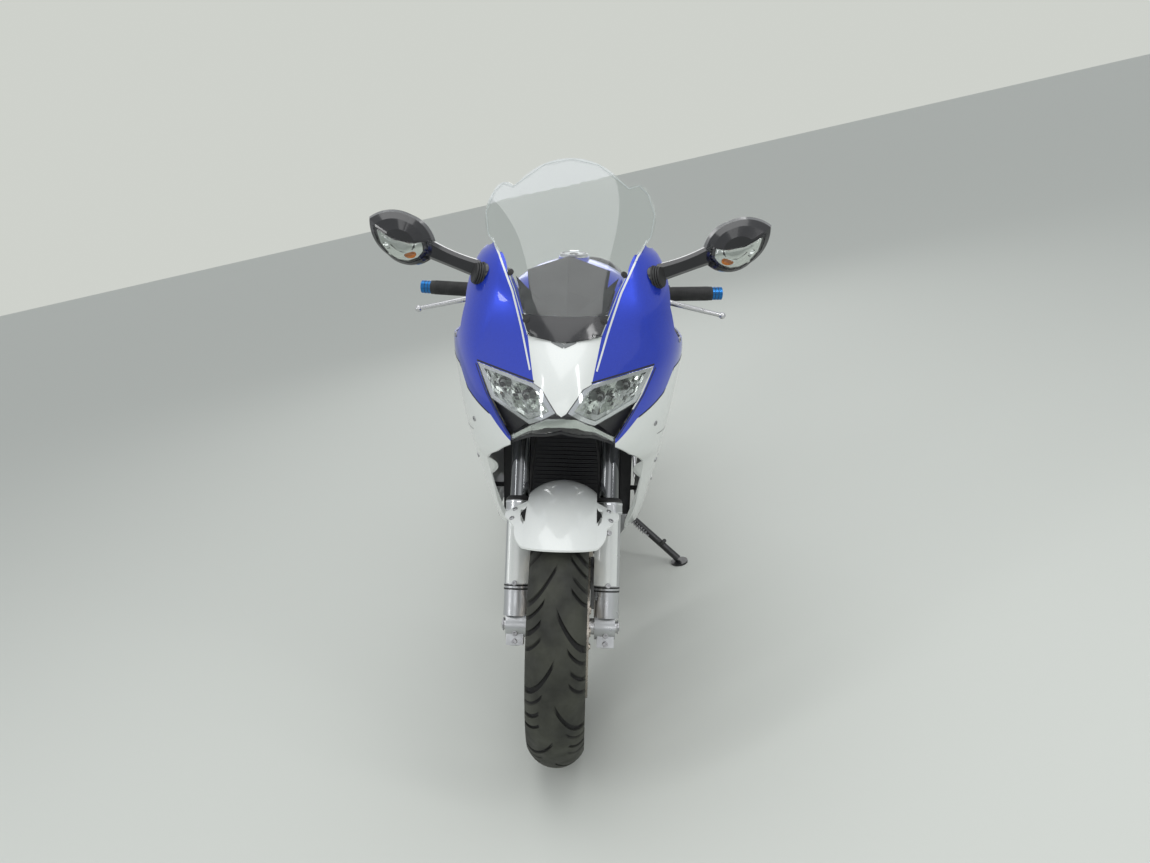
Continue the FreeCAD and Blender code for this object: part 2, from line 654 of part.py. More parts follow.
def skin(inset):
    """The closed master form of the fairing, drawn in by an even amount."""
    rows = [SKIN[0]] + SKIN + [SKIN[-1]]
    heights = [row[0] for row in SKIN]
    heights = [heights[0] + 12] + heights + [heights[-1] - 12]
    if inset <= 0:
        rows, heights = rows[1:-1], heights[1:-1]
    slant = 0.7 * inset
    wires = []
    for height, row in zip(heights, rows):
        nose, edge_out, edge, shoulder_out, shoulder, side_out, side, tail_out, tail = row[1:]
        middle = (0, nose + inset)
        edge_point = (edge_out, edge + inset)
        shoulder_point = (shoulder_out - slant, shoulder + slant)
        side_point = (side_out - inset, side)
        tail_point = (tail_out - inset, tail)
        chord = Vector(side_point[0] - shoulder_point[0], side_point[1] - shoulder_point[1], 0)
        outward = Vector(chord.y, -chord.x, 0)
        bulge = ((shoulder_point[0] + side_point[0]) / 2 + 0.08 * outward.x,
                 (shoulder_point[1] + side_point[1]) / 2 + 0.08 * outward.y)
        right = [edge_point, shoulder_point, bulge + (VIA,), side_point, tail_point]
        left = [(-p[0],) + tuple(p[1:]) for p in reversed(right)]
        path = right + left + [middle + (VIA,)]
        wires.append(wire(path, lambda p, z=height: Vector(p[0], FRONT + p[1], z)))
    return Part.makeLoft(wires, True, False)


def screen_solid(grow):
    """The curved sheet of the windscreen before its outline is cut; grow thickens it both ways."""
    # height, middle behind the front axle, half width, how far the edge lies behind the middle
    rows = [(945, -48, 110, 71), (1045, 33, 165, 90), (1120, 104, 195, 97), (1190, 172, 215, 90),
            (1250, 236, 215, 85), (1306, 302, 215, 84)]
    deep = size("screen_thickness") * 1.4
    wires = []
    for height, middle, half, sweep in rows:
        edge = middle + sweep
        back = deep + grow
        path = [(-half, edge - grow), (0, middle - grow, VIA), (half, edge - grow),
                (half, edge + back), (0, middle + back, VIA), (-half, edge + back)]
        wires.append(wire(path, lambda p, z=height: Vector(p[0], FRONT + p[1], z)))
    return Part.makeLoft(wires, True, False)


def two_sided(half_path):
    """A closed front outline from its left half, listed from the top to the bottom."""
    return half_path + [(-p[0],) + tuple(p[1:]) for p in reversed(half_path) if p[0] > 0]


def screen_outline(grow):
    """The windscreen from ahead: a dome between two shoulders; grow widens it about its middle."""
    half_path = [(112, 1251), (126, 1240), (150, 1246, VIA), (170, 1228), (186, 1185, VIA), (176, 1140),
                 (147, 1113), (108, 1045), (75, 967), (0, 957)]
    share = 1 + grow / 100
    return [(p[0] * share, SCREEN_MIDDLE + (p[1] - SCREEN_MIDDLE) * share) + tuple(p[2:])
            for p in two_sided(half_path) + [(0, 1299, VIA)]]


def fairing():
    """The nose, side cowls, lower flanks, lamps and screen, all cut from the one skin."""
    wall = size("shell_thickness")
    outer = skin(0)
    inner = skin(wall)
    shell = outer.cut(inner)
    low, high = FRONT - 300, FRONT + 172
    feature("windscreen", screen_solid(0).common(front_prism(screen_outline(0), low, FRONT + 500)))
    under_screen = screen_solid(GAP).common(front_prism(screen_outline(GAP), low, FRONT + 500))
    nose_path = two_sided([(0, 1000), (84, 1000)] + NOSE_SEAM + [(0, 830)])
    nose = shell.common(front_prism(nose_path, low, high)).cut(under_screen)
    feature("nose_cowl", max(nose.Solids, key=lambda piece: piece.Volume))
    lens_path = [(40, 878), (57, 884), (187, 890), (150, 826), (64, 801), (9, 836)]
    lens = shell.common(front_prism(lens_path, low, high))
    feature("headlamps", Part.makeCompound(both(lens)))
    strip_path = two_sided([(0, 830), (9, 836), (64, 801), (108, 757), (108, 746), (60, 784), (0, 803)])
    strip = shell.common(front_prism(strip_path, low, high))
    feature("position_lamp", strip)
    face = [(0, 1200), (160, 1200), (168, 1140), (139, 1113), (100, 1045)] + NOSE_SEAM[:2]
    face += [(187, 890), (162, 838), (108, 757), (108, 700), (0, 700)]
    face_prism = front_prism(two_sided(face), low, high)
    blue_path = SEAM + [(600, 850), (430, 905), (250, 925), (160, 930), (142, 950), (142, 1000), (180, 1068),
                        (236, 1134), (205, 1160), (-200, 1160)]
    blue = shell.common(side_prism(behind(blue_path), 10, 400)).cut(face_prism).cut(under_screen)
    blue = max(blue.Solids, key=lambda piece: piece.Volume)
    white_path = list(reversed(SEAM[1:]))
    white_path += [(30, 703), (140, 648), (210, 580), (290, 475), (330, 405), (410, 300), (432, 252),
                   (510, 240), (668, 292), (650, 400), (698, 520), (668, 640), (612, 750)]
    slot = [(300, 668), (560, 590), (585, 548), (330, 628)]
    white = shell.common(side_prism(behind(white_path), 90, 400)).cut(side_prism(behind(slot), 90, 400))
    white = white.cut(face_prism)
    white = max(white.Solids, key=lambda piece: piece.Volume)
    for name, panel in (("side_cowl", blue), ("lower_fairing", white)):
        feature(name + "_left", panel)
        feature(name + "_right", mirrored(panel))
    deeper = skin(wall + GAP)
    inside = front_prism([(41, 876), (57, 882), (183, 888), (149, 827), (64, 803), (12, 836)], low, high)
    behind_lens = [(0, FRONT - 200), (200, FRONT - 200), (200, FRONT + 115), (0, FRONT + 15)]
    housing = deeper.common(inside).common(plan_prism(behind_lens, 700, 1000))
    bowl = front_prism([(48, 870), (60, 875), (168, 881), (142, 834), (66, 811), (24, 838)], low, high)
    bowl_depth = [(0, FRONT - 200), (200, FRONT - 200), (200, FRONT + 100), (0, FRONT)]
    bowl = bowl.common(plan_prism(bowl_depth, 700, 1000))
    housing = housing.cut(bowl)
    housing = max(housing.Solids, key=lambda piece: piece.Volume)
    feature("headlamp_reflectors", Part.makeCompound(both(housing)))
    recess = skin(14).cut(skin(17))
    black = front_prism([(63, 808), (147, 834), (161, 837), (107, 757)], low, high)
    chin = recess.common(black).cut(housing)
    roof_path = two_sided([(0, 800), (58, 782), (104, 748), (104, 742), (56, 776), (0, 794)])
    roof = skin(wall + GAP).common(front_prism(roof_path, FRONT - 200, FRONT + 120))
    feature("nose_inner", Part.makeCompound(both(chin) + [roof]))


def mirrors():
    """The mirrors: a pointed housing on a flat arm, its foot seated on the cowl."""
    tip = size("mirror_half_width")
    place = FRONT + 168
    middle_x, middle_z = tip - 77, 1130

    def ring(path, share, back):
        """A front outline drawn in about the housing's middle, at its place along the machine."""
        return wire(path, lambda p: Vector(middle_x + (p[0] - middle_x) * share, place + back,
                                           middle_z + (p[1] - middle_z) * share))

    outline = [(tip - 141, 1100), (tip - 130, 1150, VIA), (tip - 92, 1180), (tip - 45, 1190, VIA),
               (tip, 1174), (tip - 8, 1130, VIA), (tip - 38, 1095), (tip - 90, 1073, VIA)]
    housing = Part.makeLoft([ring(outline, share, back) for share, back in
                             ((0.4, -38), (0.74, -28), (0.94, -12), (1.0, 6), (0.97, 16))], True, True)
    sections = []
    for inset, back in ((7, -15), (0, -5), (0, 5), (7, 15)):
        arm = [(166, 1038 + inset), (232, 1064 + inset, VIA), (tip - 122, 1092 + inset),
               (tip - 106, 1146 - inset), (236, 1102 - inset, VIA), (156, 1082 - inset)]
        sections.append(ring(arm, 1, back))
    foot = Part.makeCone(28, 20, 20, Vector(172, FRONT + 146, 1060), Vector(0.85, -0.35, 0.25))
    mirror = fused([housing, Part.makeLoft(sections, True, True), foot]).cut(skin(-GAP))
    mirror = max(mirror.Solids, key=lambda piece: piece.Volume)
    feature("mirror_left", mirror)
    feature("mirror_right", mirrored(mirror))


# Chassis

def frame():
    """The twin spar frame: head tube, spars, pivot plates, cross tubes and the side stand's lug."""
    head_low = size("lower_yoke_place") + size("yoke_thickness") / 2 + 5
    head_high = size("upper_yoke_place") - size("yoke_thickness") / 2 - 5
    head = rod(fork_point(head_low), fork_point(head_high), size("head_radius"))
    head_y = fork_point((head_low + head_high) / 2).y
    head_z = fork_point((head_low + head_high) / 2).z
    pivot_y = size("swingarm_pivot_back")
    pivot_z = size("swingarm_pivot_height")
    # place along the machine, inner side, outer side, lower edge, upper edge
    rows = [(head_y - 8, 16, 52, head_z - 52, head_z + 42),
            (head_y + 80, 84, 122, head_z - 92, head_z + 22),
            (-150, 128, 166, 700, 828),
            (pivot_y - 140, 130, 166, 556, 715),
            (pivot_y - 30, 106, 150, pivot_z, pivot_z + 220),
            (pivot_y + 34, 98, 140, pivot_z - 75, pivot_z + 160)]
    rings = []
    for place, inside, outside, low, high in rows:
        rings.append(wire([(inside, low), (outside, low + 12), (outside, high - 16), (inside + 8, high)],
                          lambda p, y=place: Vector(p[0], y, p[1])))
    spar = Part.makeLoft(rings, True, True)
    shapes = [head] + both(spar)
    for y, z in ((pivot_y + 20, pivot_z + 82), (pivot_y + 22, pivot_z - 58)):
        shapes.append(rod(Vector(-112, y, z), Vector(112, y, z), 13))
    pivot, axis, _ = stand_line()
    lug_root = Vector(118, pivot_y + 6, pivot_z - 48)
    shapes.append(rod(lug_root, pivot + (lug_root - pivot) * 0.12, 15))
    shapes.append(rod(pivot - axis * 7, pivot + axis * 7, 17))
    body = fused(shapes)
    body = body.cut(rod(fork_point(700), fork_point(1100), size("stem_radius") + GAP))
    body = body.cut(rod(pivot - axis * 30, pivot + axis * 30, 6 + GAP))
    for way in (-1, 1):
        body = body.cut(rod(pivot + axis * way * (7 + GAP), pivot + axis * way * 20, 26))
    body = max(body.Solids, key=lambda piece: piece.Volume)
    body = body.cut(rod(Vector(-200, pivot_y, pivot_z), Vector(200, pivot_y, pivot_z), 31))
    feature("frame", max(body.Solids, key=lambda piece: piece.Volume))
    return body


def parked_up():
    """Straight up in the parked pose, as the upright machine sees it."""
    lean = math.radians(size("lean_angle"))
    return Vector(-math.sin(lean), 0, math.cos(lean))


def crown_radius(width, rise):
    return ((width / 2) ** 2 + rise ** 2) / (2 * rise)


def floor_height():
    """How far the parked floor lies below the upright origin, at the front and at the rear axle."""
    drop = 1 - math.cos(math.radians(size("lean_angle")))
    front = crown_radius(size("front_tyre_width"), size("front_crown_rise")) * drop
    rear = crown_radius(size("rear_tyre_width"), size("rear_crown_rise")) * drop
    return front, rear


def stand_line():
    """The side stand's pivot, its axis, and the middle of its foot on the floor."""
    pivot = Vector(size("stand_pivot_side"), size("swingarm_pivot_back") - 40, size("stand_pivot_height"))
    up = parked_up()
    front, rear = floor_height()
    side, place = size("stand_foot_side"), size("swingarm_pivot_back") - 130
    share = (place - FRONT) / (REAR - FRONT)
    below = front + (rear - front) * share
    foot = Vector(side, place, (-below - side * up.x) / up.z)
    out = foot - pivot
    out.normalize()
    stowed = Vector(0.077, 0.995, -0.05)
    axis = out.cross(stowed)
    axis.normalize()
    return pivot, axis, foot


def side_stand():
    """A forked leg on its pivot bolt, with the foot plate flat on the floor as parked."""
    pivot, axis, foot = stand_line()
    up = parked_up()
    out = foot - pivot
    length = out.Length
    out.normalize()
    ear_low, ear_high = 7 + GAP, 13 + GAP
    radius = size("stand_tube_radius")
    ears = []
    side = out.cross(axis)
    side.normalize()
    for way in (-1, 1):
        near = pivot + axis * way * ear_low
        ears.append(rod(near, pivot + axis * way * ear_high, 16))
        arm = Part.makePolygon([near + side * 14, near - side * 14, near - side * 11 + out * 60,
                                near + side * 11 + out * 60, near + side * 14])
        ears.append(Part.Face(arm).extrude(axis * way * (ear_high - ear_low)))
    bolt = rod(pivot - axis * 17, pivot + axis * 17, 6)
    neck = rod(pivot + out * 30, pivot + out * 64, 13)
    leg = rod(pivot + out * 40, foot + up * 10 - out * 4, radius)
    plate = Part.makeCylinder(26, 6, foot, up)
    stop = rod(pivot + out * (length * 0.72), pivot + out * (length * 0.72) + Vector(0.2, -0.6, 0.6) * 46, 6)
    stand = fused(ears + [bolt, neck, leg, plate, stop])
    feature("side_stand", stand)


def engine(frame_shape):
    """The engine as plain blocks at their real places, with its side covers apart."""
    pivot_y = size("swingarm_pivot_back")
    back = pivot_y - 42
    case = side_prism([(-166, 392), (-172, 300, VIA), (-148, 216), (-128, 182, VIA), (-92, 172), (64, 172),
                       (100, 184, VIA), (back, 236), (back, 470), (back - 12, 500), (-96, 500)], -98, 98)
    sump = side_prism([(-112, 178), (-96, 150), (72, 150), (88, 178)], -66, 66)
    front = block((-96, -72, 0), (96, 72, 250))
    front.rotate(Vector(), ACROSS, 53)
    front.translate(Vector(0, -86, 420))
    rear = block((-92, -66, 0), (92, 66, 222))
    rear.rotate(Vector(), ACROSS, -37)
    rear.translate(Vector(0, 36, 468))
    bosses = [rod(Vector(-140, pivot_y - 58, 478), Vector(140, pivot_y - 58, 478), 14),
              rod(Vector(-150, -150, 640), Vector(150, -150, 640), 12)]
    hangers = [rod(Vector(side * 120, -160, 640), Vector(side * 140, -150, 715), 10) for side in (-1, 1)]
    body = fused([case, sump, front, rear] + bosses + hangers).cut(frame_shape)
    body = max(body.Solids, key=lambda piece: piece.Volume)
    feature("engine", body)
    line = size("rear_sprocket_place")
    left = Part.makeCylinder(76, 52, Vector(98 + 0.1, -62, 300), ACROSS)
    left_step = Part.makeCone(76, 62, 10, Vector(150, -62, 300), ACROSS)
    right = Part.makeCylinder(86, 56, Vector(-98.1, -52, 310), ACROSS * -1)
    right_step = Part.makeCone(86, 70, 10, Vector(-154, -52, 310), ACROSS * -1)
    pump = Part.makeCylinder(34, 60, Vector(-98.1, 62, 250), ACROSS * -1)
    teeth = size("front_teeth")
    pitch_radius = size("chain_pitch") / 2 / math.sin(math.pi / teeth)
    shaft = rod(Vector(98.1, pivot_y - 60, 385), Vector(line + 6, pivot_y - 60, 385), 17)
    sprocket = rod(Vector(line - 2.5, pivot_y - 60, 385), Vector(line + 2.5, pivot_y - 60, 385),
                   pitch_radius - size("chain_height") / 2 - 1)
    covers = [fused([left, left_step]), fused([right, right_step]), pump, fused([shaft, sprocket])]
    feature("engine_covers", Part.makeCompound(covers))
    return body


def radiator(engine_shape, inner):
    """The radiator behind the front wheel, with stays to the engine and to the flanks."""
    half = size("radiator_width") / 2
    core = block((-half, -404, 440), (half, -372, 662))
    tank_left = block((half - 26, -410, 436), (half, -366, 666))
    tank_right = block((-half, -410, 436), (-half + 26, -366, 666))
    stays = [rod(Vector(x, -374, z), Vector(x, -270, z), 8) for x in (-70, 70) for z in (560,)]
    sides = [rod(Vector(side * (half - 6), -388, z), Vector(side * 240, -388, z), 6)
             for side in (-1, 1) for z in (500, 620)]
    whole = fused([core, tank_left, tank_right] + stays + sides).cut(engine_shape)
    whole = whole.common(inner)
    whole = max(whole.Solids, key=lambda piece: piece.Volume)
    feature("radiator", whole)


def exhaust(engine_shape):
    """Two front pipes down and under the sump into the collector, then the silencer on the right."""
    low = 158
    pipes = []
    for side in (-1, 1):
        pipes.append(pipe([(side * 52, -318, 470), (side * 54, -346, 390), (side * 54, -336, 280),
                           (side * 50, -270, 190), (side * 40, -170, low - 24), (side * 30, -60, low - 26),
                           (side * 20, 70, low - 24), (side * 12, 140, low)], 17))
    box = block((-70, 112, 140), (64, 240, 215))
    link = pipe([(-40, 200, 186), (-90, 270, 192), (-136, 320, 226), (-150, 380, 262)], 24, "silencer link")
    whole = fused(pipes + [box, link]).cut(engine_shape)
    whole = max(whole.Solids, key=lambda piece: piece.Volume)
    start = Vector(-166, 345, 246)
    length = size("silencer_length")
    direction = Vector(-0.09, 0.93, 0.36)
    direction.normalize()
    rings = []
    for share, grow in ((0.0, 0.55), (0.12, 0.95), (0.8, 1.12), (0.97, 1.0), (1.0, 0.86)):
        centre = start + direction * (length * share)
        shape = [(-50, -34), (-12, -60, VIA), (38, -46), (58, 4, VIA), (36, 54), (-10, 62, VIA), (-46, 30),
                 (-56, -2, VIA)]
        rings.append(wire(shape, lambda p, c=centre, g=grow: Vector(c.x + p[0] * g, c.y, c.z + p[1] * g)))
    can = Part.makeLoft(rings, True, True)
    whole = whole.cut(can)
    whole = max(whole.Solids, key=lambda piece: piece.Volume)
    outlet = start + direction * (length + 4)
    can = can.cut(rod(outlet - direction * 80, outlet + direction * 20, 22))
    feature("exhaust_pipes", whole)
    feature("silencer", can)
    return whole, can


def tank(frame_shape):
    """The fuel tank, narrow at the knees, with its filler ring, and the hinged lid on it."""
    # place along the machine, half width, bottom, top
    rows = [(FRONT + 404, 84, 902, 968), (-232, 146, 846, 1030), (-120, 166, 792, 1042), (0, 140, 748, 992),
            (114, 84, 744, 846)]
    rings = []
    for place, half, low, high in rows:
        rise = high - low
        path = [(-0.82 * half, low), (0.82 * half, low), (0.98 * half, low + 0.5 * rise),
                (0.9 * half, low + 0.76 * rise), (0, high, VIA), (-0.9 * half, low + 0.76 * rise),
                (-0.98 * half, low + 0.5 * rise)]
        rings.append(wire(path, lambda p, y=place: Vector(p[0], y, p[1])))
    body = Part.makeLoft(rings, True, False)
    cap_place = Vector(0, -150, 1036)
    body = body.fuse(Part.makeCylinder(40, 16, cap_place - Vector(0, 0, 4), Vector(0, 0, 1)))
    body = body.cut(Part.makeCylinder(26, 14, cap_place, Vector(0, 0, 1)))
    body = body.cut(frame_shape)
    feature("fuel_tank", max(body.Solids, key=lambda piece: piece.Volume))
    lid = Part.makeCylinder(36, 7, cap_place + Vector(0, 0, 12 + GAP), Vector(0, 0, 1))
    knuckle = rod(cap_place + Vector(-12, 42, 19), cap_place + Vector(12, 42, 19), 4)
    strap = block((-10, cap_place.y + 28, cap_place.z + 14), (10, cap_place.y + 42, cap_place.z + 19))
    feature("fuel_cap", fused([lid, knuckle, strap]))


def pillion_hanger():
    """The left plate that carries the pillion's peg, hung from the seat rail and splayed outward."""
    plate = side_prism([(498, 772), (640, 800), (582, 566), (560, 541, VIA), (538, 566)], 86, 93)
    plate = plate.cut(side_prism([(530, 748), (608, 764), (574, 618), (548, 618)], 80, 100))
    plate.rotate(Vector(89.5, 0, 785), Vector(0, 1, 0), -18.4)
    return plate


def seat_rails(frame_shape):
    """The subframe: two rails that rise to the tail, their struts and two cross tubes."""
    rail_line = [(104, 180, 566), (104, 240, 650), (98, 360, 742), (92, 520, 776), (84, 700, 800),
                 (66, 862, 826)]
    pieces = []
    for side in (-1, 1):
        pieces.append(pipe([(side * x, y, z) for x, y, z in rail_line], 11))
        pieces.append(rod(Vector(side * 104, 176, 484), Vector(side * 95, 440, 756), 9))
    pieces.append(rod(Vector(-138, 500, 774), Vector(138, 500, 774), 9))
    pieces.append(rod(Vector(-92, 832, 836), Vector(92, 832, 836), 9))
    subframe = fused(pieces).cut(frame_shape)
    subframe = max(subframe.Solids, key=lambda piece: piece.Volume)
    feature("rear_subframe", subframe)
    return subframe


def tail_forms():
    """The tail cowl's outer form and the hollow in it, which opens downward."""
    # place along the machine, half width, lower edge, upper edge
    rows = [(150, 100, 654, 752), (300, 134, 664, 768), (420, 152, 676, 788), (700, 136, 744, 862),
            (900, 86, 812, 896), (985, 44, 852, 892)]
    shells = []
    for inset in (0, size("shell_thickness")):
        rings = []
        for place, half, low, high in rows:
            widest = low + 0.62 * (high - low)
            path = [(-0.74 * half + inset, low - 3 * inset), (0.74 * half - inset, low - 3 * inset),
                    (half - inset, widest), (0.72 * half - inset, high - inset),
                    (-0.72 * half + inset, high - inset), (-half + inset, widest)]
            rings.append(wire(path, lambda p, y=place: Vector(p[0], y, p[1])))
        shells.append(Part.makeLoft(rings, True, True))
    return shells


def tail(subframe):
    """The tail cowl round the subframe, the lamp at its end and the two seats on it."""
    seat = size("seat_height")
    body, hollow = tail_forms()
    front_wall = block((-300, 100, 600), (300, 150.5, 900))
    shell = body.cut(hollow).cut(front_wall)
    for piece in [subframe] + both(pillion_hanger()):
        shell = max(shell.cut(piece).Solids, key=lambda item: item.Volume)
    feature("tail_cowl", shell)
    lamp_ends = []
    for place, half, low, high in ((960, 50, 858, 886), (1000, 34, 862, 884)):
        path = [(-half, low), (half, low), (half * 0.9, high), (-half * 0.9, high)]
        lamp_ends.append(wire(path, lambda p, y=place: Vector(p[0], y, p[1])))
    lamp = Part.makeLoft(lamp_ends, True, True).cut(block((-300, 900, 600), (300, 985 + GAP, 1000)))
    feature("tail_lamp", lamp)
    # place along the machine, half width, bottom, top
    rider = [(118, 66, 752, seat + 22), (200, 96, 752, seat + 4), (330, 138, 752, seat),
             (428, 146, 770, seat + 30)]
    passenger = [(436, 132, 780, seat + 56), (560, 134, 790, seat + 82), (760, 98, 830, seat + 96)]
    for label, table in (("rider_seat", rider), ("pillion_seat", passenger)):
        rings = []
        for place, half, low, high in table:
            widest = (low + 2 * high) / 3
            path = [(-0.8 * half, low), (0.8 * half, low), (half, widest), (0.8 * half, high - 6),
                    (0, high, VIA), (-0.8 * half, high - 6), (-half, widest)]
            rings.append(wire(path, lambda p, y=place: Vector(p[0], y, p[1])))
        cushion = Part.makeLoft(rings, True, True).cut(body).cut(subframe)
        cushion = max(cushion.Solids, key=lambda piece: piece.Volume)
        cushion.translate(Vector(0, 0, GAP))
        feature(label, cushion)
    return body


def tail_fittings(tail_form, subframe):
    """The grab rail round the tail, and the mudguard under it with the rear indicators."""
    rail_half = [(112, 530, 792), (166, 596, 838), (160, 700, 862), (130, 820, 884), (92, 900, 898),
                 (40, 938, 902)]
    rail = rail_half + [(-x, y, z) for x, y, z in reversed(rail_half)]
    feet = [rod(Vector(side * 56, 880, 866), Vector(side * 56, 926, 901), 9) for side in (-1, 1)]
    grab = fused([pipe(rail, 10, "grab rail")] + feet).cut(tail_form).cut(subframe)
    feature("grab_rail", max(grab.Solids, key=lambda piece: piece.Volume))
    sheet = side_prism([(440, 669), (700, 738), (905, 807), (905, 840), (700, 775), (440, 700)], -74, 74)
    narrowing = [(-74, 430), (74, 430), (74, 820), (56, 905), (-56, 905), (-74, 820)]
    sheet = sheet.common(plan_prism(narrowing, 600, 900))
    flap = side_prism([(880, 800), (972, 806), (1030, 700), (1098, 560), (1106, 563), (1044, 706), (990, 850),
                       (880, 840)], -58, 58)
    flap = flap.common(front_prism([(-58, 860), (-58, 760), (-40, 700), (-46, 590), (0, 556, VIA), (46, 590),
                                    (40, 700), (58, 760), (58, 860)], 860, 1200))
    stalks = [rod(Vector(side * 30, 1016, 744), Vector(side * 112, 1016, 744), 9) for side in (-1, 1)]
    lamps = [Part.makeCone(18, 9, 52, Vector(side * 108, 1016, 744), ACROSS * side) for side in (-1, 1)]
    guard = fused([sheet, flap] + stalks + lamps).cut(tail_form).cut(subframe)
    feature("rear_mudguard", max(guard.Solids, key=lambda piece: piece.Volume))


def swingarm(frame_shape):
    """The one-sided arm on the left, with its hub carrier and pivot tube, and the rear caliper."""
    pivot_y = size("swingarm_pivot_back")
    pivot_z = size("swingarm_pivot_height")
    disc_line = size("rear_disc_place")
    near = disc_line + size("disc_thickness") / 2 + 5
    far = size("rear_sprocket_place") - size("chain_width") / 2 - 8
    axle_y, axle_z = REAR_AXLE.y, REAR_AXLE.z
    # place along the machine, inner side, outer side, lower edge, upper edge
    rows = [(pivot_y - 8, 10, 90, pivot_z - 24, pivot_z + 24),
            (pivot_y + 80, 46, 120, pivot_z - 42, pivot_z + 26),
            (axle_y - 330, near, far, axle_z - 6, axle_z + 92),
            (axle_y - 130, near, far, axle_z - 50, axle_z + 58),
            (axle_y - 20, near, far, axle_z - 50, axle_z + 50)]
    rings = []
    for place, inside, outside, low, high in rows:
        rings.append(wire([(inside, low), (outside, low), (outside, high), (inside, high)],
                          lambda p, y=place: Vector(p[0], y, p[1])))
    arm = Part.makeLoft(rings, True, True)
    carrier = rod(Vector(near, axle_y, axle_z), Vector(far, axle_y, axle_z), 78)
    tube = rod(Vector(-90, pivot_y, pivot_z), Vector(90, pivot_y, pivot_z), 27)
    arm = fused([arm, carrier, tube])
    pivot_bolt = rod(Vector(-98, pivot_y, pivot_z), Vector(146, pivot_y, pivot_z), 12)
    arm = fused([arm, pivot_bolt])
    arm = arm.cut(rod(Vector(0, axle_y, axle_z), Vector(300, axle_y, axle_z), 29 + GAP))
    arm = arm.cut(frame_shape)
    arm = max(arm.Solids, key=lambda piece: piece.Volume)
    caliper = block((disc_line - 24, 88, -38), (near + 18, 138, 38))
    slot = block((disc_line - 3.6, 80, -60), (disc_line + 3.6, size("rear_disc_radius") + 4, 60))
    caliper = caliper.cut(slot).fuse(block((near, 72, -30), (near + 18, 92, 30)))
    caliper.rotate(Vector(), ACROSS, 58)
    caliper.translate(REAR_AXLE)
    caliper = caliper.cut(arm)
    feature("rear_caliper", max(caliper.Solids, key=lambda piece: piece.Volume))
    feature("swingarm", arm)
    return arm


def rear_shock(solids_round_it):
    """The spring and damper between the frame's cross tubes and the arm; each coil is a bevelled ring."""
    top = Vector(8, 232, 640)
    foot = Vector(8, 256, 352)
    along = foot - top
    length = along.Length
    along.normalize()
    seat, core, coil = 44, 22, 31
    first, pitch, turns = 58, 28.5, 7
    profile = [(0, seat), (core, seat)]
    for number in range(turns):
        middle = first + number * pitch
        profile += [(core, middle - 7), (coil, middle - 3), (coil, middle + 3), (core, middle + 7)]
    profile += [(core, length - seat), (0, length - seat), (0, seat)]
    spring = Part.Face(Part.makePolygon([Vector(radius, 0, down) for radius, down in profile]))
    spring = spring.revolve(Vector(), Vector(0, 0, 1), 360)
    spring.transformShape(Placement(top, Rotation(Vector(0, 0, 1), along)).toMatrix())
    damper = [rod(top, foot, 14), rod(top + along * 34, top + along * seat, 32),
              rod(foot - along * seat, foot - along * 34, 32)]
    arm_eye = rod(Vector(-12, foot.y, foot.z), Vector(110, foot.y, foot.z), 10)
    top_eye = rod(Vector(-112, top.y, top.z), Vector(112, top.y, top.z), 10)
    unit = fused([spring] + damper + [arm_eye, top_eye])
    for solid in solids_round_it:
        unit = unit.cut(solid)
    feature("rear_shock", max(unit.Solids, key=lambda piece: piece.Volume))


